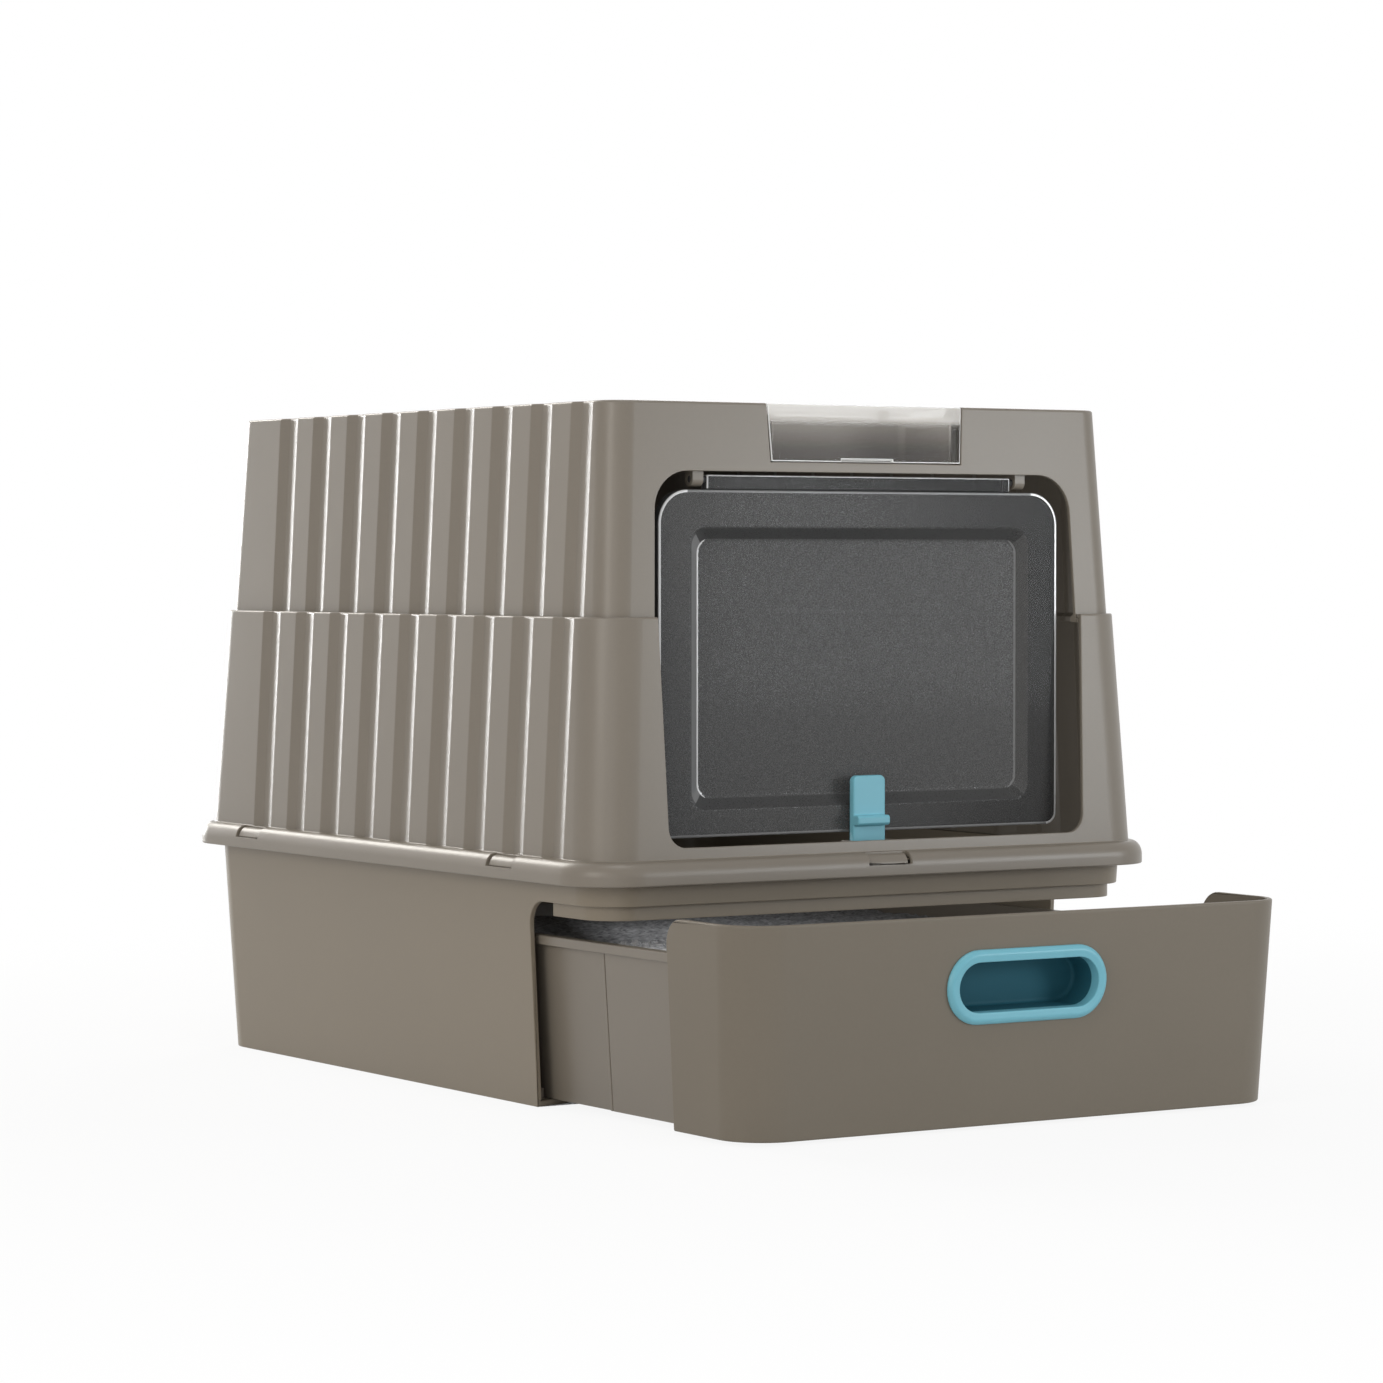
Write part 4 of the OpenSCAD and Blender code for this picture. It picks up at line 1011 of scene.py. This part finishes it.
def door_painted_tone(inset, depth, normal, middle):
    """Which of the door's five greys a face of its front gets: 0 plain, 1 painted shade of a fold, 2
    a faint painted highlight, 3 a bright painted highlight, 4 the frame, which darkens to the right
    as painted shade.
    """
    inner = DOOR_FRAME + 1.7 * DOOR_DISH
    if inset < RIM_LINE:
        return 2 if abs(middle.x) < BAR_HALF else 3
    if depth > DOOR_DISH - 0.5 and abs(inset - inner) < 0.7:
        return 3 if normal.x > 0.12 else 2 if normal.x < -0.12 else 0
    if 0.1 < depth < DOOR_DISH and abs(normal.z) > abs(normal.x):
        return 1
    if depth > 0.4 * DOOR_DISH and normal.x > 0.3:
        return 2
    return 4 if depth <= 0.1 else 0


def door_panel():
    front, back = door_low.y, door_high.y
    inner = DOOR_FRAME + 1.7 * DOOR_DISH
    less = DOOR_FOOT_LESS
    rows = [(inner + 30, less, front + DOOR_DISH, 4, 4, 0),
            (inner, less, front + DOOR_DISH, 8, 8, 0.8),
            (DOOR_FRAME, less, front, 10, 10, 1.0),
            (RIM_LINE, 0, front, 6, 17.4, 0),
            (0, 0, front, 7, 19, 0.7),
            (0, 0, back, 7, 19, 0.5),
            (DOOR_T, 0, back, 5, 17, 0.5),
            (DOOR_T, 0, front + DOOR_T, 5, 17, 0.6),
            (DOOR_FRAME + 0.4, less, front + DOOR_T, 10, 10, 2.2),
            (inner + 0.4, less, front + DOOR_DISH + DOOR_T, 8, 8, 2.2),
            (inner + 30, less, front + DOOR_DISH + DOOR_T, 4, 4, 0)]
    rows = soften(rows, closed=False)
    rings = [door_ring(*row[:5]) for row in rows]
    piece = skin("door_panel_skin", rings, smoke, closed=False)
    # These greys are painted shade and painted highlights; the function above picks one for each
    # face.
    for painted in (smoke_fold_painted_shade, smoke_faint_highlight, smoke_painted_highlight, smoke_frame_painted_shade):
        piece.data.materials.append(painted)
    around = len(rings[0])
    rim = next(i for i, row in enumerate(rows) if row[0] == 0)
    for face in piece.data.polygons:
        ring = face.index // around
        if ring < rim:
            row = (rows[ring] + rows[ring + 1]) / 2
            face.material_index = door_painted_tone(row[0], row[2] - front, face.normal, face.center / MM)
    return shade(piece, 60)


door_skin = door_panel()
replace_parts(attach(door_skin, "door"), "door_panel")
print("door:", len(door_skin.data.polygons), "faces")

# %% [markdown]
# ## Hinge bar
# The bar that clips over the door's head is a channel, in a grey that turns darker towards the
# right as painted shade. Its edges are rounded before the channel is cut, so that only its outer
# edges get the near-white painted highlight, and those that face down lose it again. The pins come
# from the solid.

# %% Hinge bar


def hinge_bar():
    low, high = box_mm("door_hinge_bar")
    piece = block((-BAR_HALF, low.y, low.z), (BAR_HALF, high.y, high.z))
    piece.name = "door_hinge_bar_skin"
    piece.data.materials[0] = smoke_bar_painted_shade
    round_edges(piece, 0.8, 2, 50, smoke_painted_highlight)
    # Downward faces lose the painted highlight of the rounded edges.
    for face in piece.data.polygons:
        if face.normal.z < -0.3:
            face.material_index = 0
    cut(piece, block((-BAR_HALF + 6, low.y + BAR_WALL, low.z + BAR_WALL),
                     (BAR_HALF - 6, high.y + 1, high.z - BAR_WALL)))
    return shade(piece)


def on_pin(p):
    return abs(p.x) > BAR_HALF + 0.1


bar_skin = hinge_bar()
pins = rounded_copy("door_hinge_bar", "door_pins", smoke, 0, keep=on_pin)
carry(pins, bar_skin)
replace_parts(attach(bar_skin, "door"), "door_hinge_bar")
print("hinge bar:", len(bar_skin.data.polygons), "faces")

# %% [markdown]
# ## Drawer
# The drawer's front is a curved apron with two wings that close the bay. It is a loft with the
# base's own outline, moved forward by the drawer's travel, from which the wings and the pull's
# opening are cut.

# %% Drawer front
DRAWER_OUT = 142.0
FASCIA_T = 3.2
WING_R = 14.3
pull_low, pull_high = box_mm("drawer_pull")
PULL_Z = 77.3
PULL_HALF_H = 20.2
PULL_FRAME = 6.6
PULL_WALL = 2.0
PULL_DEPTH = 20.0
PULL_PROUD = 3.0
# depth at which the cup's painted shade begins
CUP_SHADE_DEPTH = 3.5
pull_place = (Matrix.Translation(Vector((0, -base_half(PULL_Z)[1] - DRAWER_OUT, PULL_Z)))
              @ Matrix.Rotation(math.atan(BASE_LEAN) - math.pi / 2, 4, "X"))


def stadium(half_w, half_h, steps=20):
    straight = half_w - half_h
    return arc(straight, 0, half_h, -90, steps, 180) + arc(-straight, 0, half_h, 90, steps, 180)


def drawer_fascia():
    low, high = 2.0, bay_z - 0.3
    levels = [level(base_half(low), low, base_r, 0, 1.2),
              level(base_half(high), high, base_r, 0, 1.6),
              level(base_half(high), high, base_r - FASCIA_T, 0, 0.8, FASCIA_T),
              level(base_half(low), low, base_r - FASCIA_T, 0, 0.5, FASCIA_T)]
    piece = loft("drawer_front_skin", levels, plain_ring, front_taupe_painted_shade, shift=-DRAWER_OUT)
    back = bay_back_y - 0.6 - DRAWER_OUT
    wing = [(back, -5), (400, -5), (400, 300), (back - WING_R, 300)]
    wing += list(reversed(arc(back - WING_R, high - WING_R, WING_R, 0)))
    within = PULL_FRAME - PULL_WALL
    hole = prism("pull_hole", stadium(pull_high.x - within, PULL_HALF_H - within), "z", -12, 12)
    to_metres = Matrix.Scale(MM, 4)
    hole.data.transform(to_metres @ pull_place @ to_metres.inverted())
    cut(piece, prism("wing", wing, "x", -400, 400), hole)
    return round_edges(piece, 0.5)


fascia_skin = drawer_fascia()
print("drawer front:", len(fascia_skin.data.polygons), "faces")


def in_boss(p):
    return 115 < abs(p.x) < 125 and p.y > -370 and (10 < p.z < 22 or 76 < p.z < 88)


bosses = rounded_copy("drawer_fascia", "front_bosses", taupe, 0, keep=in_boss)
carry(bosses, fascia_skin)
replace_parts(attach(fascia_skin, "drawer"), "drawer_fascia")

# %% [markdown]
# ## Pull
# The finger pull is one profile swept round a slot shape: a raised frame outside, and inside it a
# cup with a flat floor. The cup gets a darker teal than the frame, as painted shade for its depth.

# %% Pull


def drawer_pull():
    straight = (pull_high.x - pull_low.x) / 2 - PULL_HALF_H
    inner, outer = PULL_HALF_H - PULL_FRAME, PULL_HALF_H
    rows = [(0.5, 0, PULL_DEPTH, 0, 0, 0),
            (inner - 0.2, 0, PULL_DEPTH, 0, 0, 2.5),
            (inner - 0.07, 0, CUP_SHADE_DEPTH, 0, 0, 0),
            (inner, 0, -PULL_PROUD, 0, 0, 0.7),
            (outer - 2.2, 0, -PULL_PROUD - 0.4, 0, 0, 1.2),
            (outer, 0, -1.4, 0, 0, 1.2),
            (outer, 0, -0.1, 0, 0, 0.2),
            (inner + PULL_WALL, 0, -0.1, 0, 0, 0.2),
            (inner + PULL_WALL, 0, PULL_DEPTH + PULL_WALL, 0, 0, 1.0),
            (0.5, 0, PULL_DEPTH + PULL_WALL, 0, 0, 0)]
    rings = []
    for row in soften(rows, closed=False, steps=6):
        rings.append([tuple(pull_place @ Vector((x, y, row[2])))
                      for x, y in stadium(straight + row[0], row[0])])
    piece = skin("drawer_pull_skin", rings, teal, closed=False)
    piece.data.materials.append(cup_teal_painted_shade)
    # The cup's faces and the end caps get the darker teal, as painted shade.
    painted_shade_faces, caps_from = 8 * len(rings[0]), len(piece.data.polygons) - 2
    for face in piece.data.polygons:
        face.material_index = int(face.index < painted_shade_faces or face.index >= caps_from)
    return shade(piece, 60)


pull_skin = drawer_pull()
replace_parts(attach(pull_skin, "drawer"), "drawer_pull")
print("pull:", len(pull_skin.data.polygons), "faces")

# %% [markdown]
# ## Tray and sleeve
# The tray is an open tub with an outward rim. The sleeve is a thin band that joins it to the
# drawer's front, with a fine groove near its end on each side.

# %% Tray and sleeve
tray_low, tray_high = box_mm("drawer_tray")
TRAY_SHIFT = (tray_low.y + tray_high.y) / 2
TRAY_RIM_H = 5.4
TRAY_WALL = 2.4
TRAY_R = 21.0
SLEEVE_T = 1.5
SLEEVE_R = 23.0
SLEEVE_GAP = 3.0
SEAM_AT = 3.0
SEAM_W = 0.9
SEAM_DEEP = 0.8
TRAY_FOOT = np.array([165.5, 210.5])
tray_lean = 6.1 / (tray_high.z - tray_low.z)


def tray_half(z):
    return TRAY_FOOT + tray_lean * (z - tray_low.z)


def drawer_tray():
    low, high = tray_low.z, tray_high.z
    rim = np.array([tray_high.x, tray_half(high)[1] + 4.4])
    levels = [level(tray_half(low), low, TRAY_R, 0, 2.5),
              level(tray_half(high - TRAY_RIM_H), high - TRAY_RIM_H, TRAY_R, 0, 0.6),
              level(rim, high - TRAY_RIM_H, TRAY_R + 4, 0, 0.6),
              level(rim, high, TRAY_R + 4, 0, 1.0),
              level(tray_half(high), high, TRAY_R - TRAY_WALL, 0, 1.0, TRAY_WALL),
              level(tray_half(low), low + TRAY_WALL, TRAY_R - TRAY_WALL, 0, 4.0, TRAY_WALL)]
    return shade(loft("tray_skin", levels, plain_ring, taupe, closed=False, shift=TRAY_SHIFT))


def drawer_sleeve():
    low, high = box_mm("drawer_sleeve")
    gap = np.array([0.2 + SLEEVE_T, SLEEVE_GAP + SLEEVE_T])
    levels = [level(tray_half(z) + gap, z, SLEEVE_R - inset, 0, 0.4, inset)
              for z, inset in ((low.z, 0), (high.z, 0), (high.z, SLEEVE_T), (low.z, SLEEVE_T))]
    piece = loft("sleeve_skin", levels, plain_ring, taupe, shift=TRAY_SHIFT)
    cut(piece, block((-300, high.y, -20), (300, 500, 200)))
    for sign in (-1, 1):
        outer = [sign * (tray_half(z)[0] + gap[0]) for z in (low.z, high.z)]
        outline = [(outer[0] + sign, low.z - 1), (outer[0] - sign * SEAM_DEEP, low.z - 1),
                   (outer[1] - sign * SEAM_DEEP, high.z + 1), (outer[1] + sign, high.z + 1)]
        cut(piece, prism("seam", outline, "y", high.y - SEAM_AT, high.y - SEAM_AT + SEAM_W))
    return round_edges(piece, 0.3)


for piece, node in ((drawer_tray(), "drawer_tray"), (drawer_sleeve(), "drawer_sleeve")):
    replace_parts(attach(piece, "drawer"), node)
    print(node, len(piece.data.polygons), "faces")

# %% [markdown]
# ## Litter
# The litter is crumbs of a few millimetres. Tens of thousands of loose crumbs would be slow and
# mostly hidden, so the heap is a grid that is pushed up and down by cellular noise of the crumbs'
# own size. It is a low mound that falls away behind the doorway's sill.

# %% Heap of litter
litter_top = box_mm("litter_bed")[1].z
HEAP_EDGE = 14.0
HEAP_RISE = 11.5
HEAP_FALLS = -250.0
HEAP_RUN = 60.0
HEAP_GRID = 2.0


def heap_height(x, y):
    """Height of the heap's surface, in millimetres."""
    half = tray_half(litter_top - HEAP_EDGE) - 3
    u = abs(x) / half[0]
    v = abs(y - TRAY_SHIFT) / half[1]
    mound = max(0.0, 1 - max(u, v) ** 2.2)
    mound *= 1 - 0.8 * min(1, max(0, (y - HEAP_FALLS) / HEAP_RUN))
    spot = Vector((x, y, 0.0))
    roll = noise.noise(spot * 0.012) * 2.5
    cell = noise.voronoi(spot * 0.19)[0][0]
    fine = noise.noise(spot * 0.6) * 0.7
    return litter_top - HEAP_EDGE + HEAP_RISE * mound + roll * mound + 2.4 * (0.55 - cell) + fine


def litter_heap():
    half = tray_half(litter_top - 12) - 2.9
    xs = np.linspace(-half[0], half[0], int(2 * half[0] / HEAP_GRID))
    ys = np.linspace(TRAY_SHIFT - half[1], TRAY_SHIFT + half[1], int(2 * half[1] / HEAP_GRID))
    corner = TRAY_R - TRAY_WALL
    points = []
    for y in ys:
        for x in xs:
            dx = max(0, abs(x) - (half[0] - corner))
            dy = max(0, abs(y - TRAY_SHIFT) - (half[1] - corner))
            pull = min(1.0, corner / max(math.hypot(dx, dy), 1e-6)) if dx and dy else 1.0
            px = math.copysign(abs(x) - dx * (1 - pull), x)
            py = TRAY_SHIFT + math.copysign(abs(y - TRAY_SHIFT) - dy * (1 - pull), y - TRAY_SHIFT)
            points.append((px, py, heap_height(px, py)))
    n = len(xs)
    corners = [j * n + i for j in range(len(ys) - 1) for i in range(n - 1)]
    faces = [(first, first + 1, first + n + 1, first + n) for first in corners]
    piece = piece_from("litter_heap", points, faces, bed)
    for face in piece.data.polygons:
        face.use_smooth = True
    return piece


heap = litter_heap()
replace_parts(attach(heap, "drawer"), "litter_bed")
print("heap:", len(heap.data.polygons), "faces")

# %% [markdown]
# ## Loose crumbs
# The part of the heap that the open drawer shows gets separate crumbs. Each is a coarse ball,
# squashed, turned and dented at random, and all of them are written into one mesh, because
# thousands of objects would be slow to handle.

# %% Loose crumbs
CRUMBS = 4200


def loose_crumbs():
    """Irregular pebbles pressed into the heap's open part, as one mesh."""
    ball = bmesh.new()
    bmesh.ops.create_icosphere(ball, subdivisions=1, radius=1)
    corners = [vert.co.copy() for vert in ball.verts]
    sides = [[vert.index for vert in face.verts] for face in ball.faces]
    ball.free()
    half = tray_half(litter_top - 12) - 5
    points, faces = [], []
    for _ in range(CRUMBS):
        x = random.uniform(-half[0], half[0])
        y = random.uniform(TRAY_SHIFT - half[1], -150)
        size = random.uniform(1.5, 3.8)
        spot = Vector((x, y, heap_height(x, y) + 0.3 * size))
        angle = random.uniform(0, 6.3)
        turn = Matrix.Rotation(angle, 3, Vector((random.random(), random.random(), 1)))
        shape = turn @ Matrix.Diagonal((1, random.uniform(0.6, 1), random.uniform(0.5, 0.8)))
        first = len(points)
        for corner in corners:
            bump = Vector([random.uniform(-0.25, 0.25) for _ in range(3)])
            points.append(tuple(spot + size * (shape @ corner + bump)))
        faces += [[first + k for k in side] for side in sides]
    return piece_from("loose_crumbs", points, faces, crumb)


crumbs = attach(loose_crumbs(), "drawer")
print("crumbs:", len(crumbs.data.polygons), "faces")

# %% [markdown]
# ## Screws
# The screws hide behind the keeper and the drawer's front, so their solids stay as they are and
# only get the steel.

# %% Screws keep their solids
for name, node in frame["nodes"].items():
    if "screw" in name:
        node.data.materials.clear()
        node.data.materials.append(steel)
print("screws are steel")

# %% [markdown]
# ## Floor and surround
# The camera, reflections and clear plastic see a white surround, while surfaces get a softer light
# from it. Light Path tells these rays apart, so the white never comes from more light on the box.
# The floor keeps the box's shadow and fades to white further out.

# %% White surround
AMBIENT = 0.37
FLOOR_WHITE = 0.9
FLOOR_HALF = 30000
FADE_FROM, FADE_TO = 0.4, 1.3


def sees_white(wire):
    """1 for rays from the camera, in a reflection or through clear plastic, and 0 for others."""
    rays = [wire.node("ShaderNodeLightPath", output="Is %s Ray" % kind)
            for kind in ("Camera", "Glossy", "Transmission")]
    return wire.math("MINIMUM", rays[0] + rays[1] + rays[2], 1.0)


def surround():
    world = bpy.data.worlds.new("studio")
    world.use_nodes = True
    tree = world.node_tree
    background = tree.nodes["Background"]
    strength = AMBIENT + (1 - AMBIENT) * sees_white(Wire(tree))
    tree.links.new(strength.socket, background.inputs["Strength"])
    background.inputs["Color"].default_value = (1, 1, 1, 1)
    bpy.context.scene.world = world


def floor():
    material = bpy.data.materials.new("pale_floor")
    material.use_nodes = True
    tree = material.node_tree
    wire = Wire(tree)
    glow = wire.node("ShaderNodeEmission", {}, {"Color": (1, 1, 1, 1), "Strength": 1.0})
    matte = wire.node("ShaderNodeBsdfDiffuse", {}, {"Color": (0.8, 0.8, 0.8, 1)})
    away = wire.node("ShaderNodeVectorMath", {"operation": "LENGTH"}, {0: spot_on(wire)},
                     output="Value")
    far = wire.node("ShaderNodeMapRange", {"interpolation_type": "SMOOTHSTEP"},
                    {"Value": away, "From Min": FADE_FROM, "From Max": FADE_TO,
                     "To Min": FLOOR_WHITE, "To Max": 1.0})
    mixed = wire.node("ShaderNodeMixShader", {}, {0: far * sees_white(wire), 1: matte, 2: glow})
    tree.links.new(mixed.socket, tree.nodes["Material Output"].inputs["Surface"])
    corners = [(x * FLOOR_HALF, y * FLOOR_HALF, 0) for x, y in ((-1, -1), (1, -1), (1, 1), (-1, 1))]
    piece_from("floor", corners, [(0, 1, 2, 3)], material)


surround()
floor()
print("white surround and floor are set")

# %% [markdown]
# ## Lamps
# Soft panels, all at a plain level. Those behind skim the ribs and draw their crests, the ones
# beside and above the front fill it evenly, and a small one in the cabin shows through the door.

# %% Lamps
WARM = (1.0, 0.965, 0.91)
COOL = (0.93, 0.97, 1.0)


def lamp(name, spot, target, size, watts, colour=(1.0, 1.0, 1.0)):
    data = bpy.data.lights.new(name, "AREA")
    data.shape = "RECTANGLE"
    data.size, data.size_y = size
    data.energy = watts
    data.color = colour
    light = bpy.data.objects.new(name, data)
    light.location = spot
    light.rotation_euler = (Vector(target) - Vector(spot)).to_track_quat("-Z", "Y").to_euler()
    bpy.context.scene.collection.objects.link(light)


lamp("rim_rear_left", (-0.34, 3.6, 0.5), (-0.19, 0, 0.25), (0.6, 0.9), 29)
lamp("rear_wide", (0.55, 3.6, 0.5), (0, 0, 0.25), (1.2, 0.9), 14)
lamp("key_rear_top", (-0.45, 2.4, 1.7), (-0.1, 0, 0.25), (1.0, 1.0), 36, WARM)
lamp("top_rear_right", (1.4, 1.5, 1.9), (0, -0.2, 0.15), (0.8, 0.8), 12)
lamp("top_front", (-0.3, -1.0, 3.3), (0, -0.3, 0.1), (1.0, 0.8), 15)
lamp("left_front", (-1.75, -0.85, 0.7), (-0.1, -0.25, 0.15), (0.7, 0.7), 7.6, WARM)
lamp("beside_camera", (-1.75, -1.95, 0.4), (-0.1, -0.25, 0.15), (0.7, 0.7), 2.6)
lamp("sheen_right", (1.05, -1.54, 0.42), (0.1, -0.24, 0.28), (0.5, 0.5), 7.2, COOL)
lamp("cabin", (-0.1, -0.08, 0.2), (0.17, -0.2, 0.2), (0.1, 0.1), 0.13)
print("nine soft lamps are set")

# %% [markdown]
# ## Camera
# A long lens from the front left, a little below the roof, keeps the walls nearly parallel.

# %% Camera
EYE = Vector((-1.43169, -2.28720, 0.30447))
YAW = 32.509
PITCH = -1.67
camera_data = bpy.data.cameras.new("camera")
camera_data.lens = 115.24
camera_data.sensor_width = 36.0
camera = bpy.data.objects.new("camera", camera_data)
camera.location = EYE
camera.rotation_euler = (math.radians(90 + PITCH), 0, math.radians(-YAW))
bpy.context.scene.collection.objects.link(camera)
bpy.context.scene.camera = camera
bpy.context.scene.view_settings.view_transform = "Standard"
print("camera at", tuple(round(v, 3) for v in EYE))
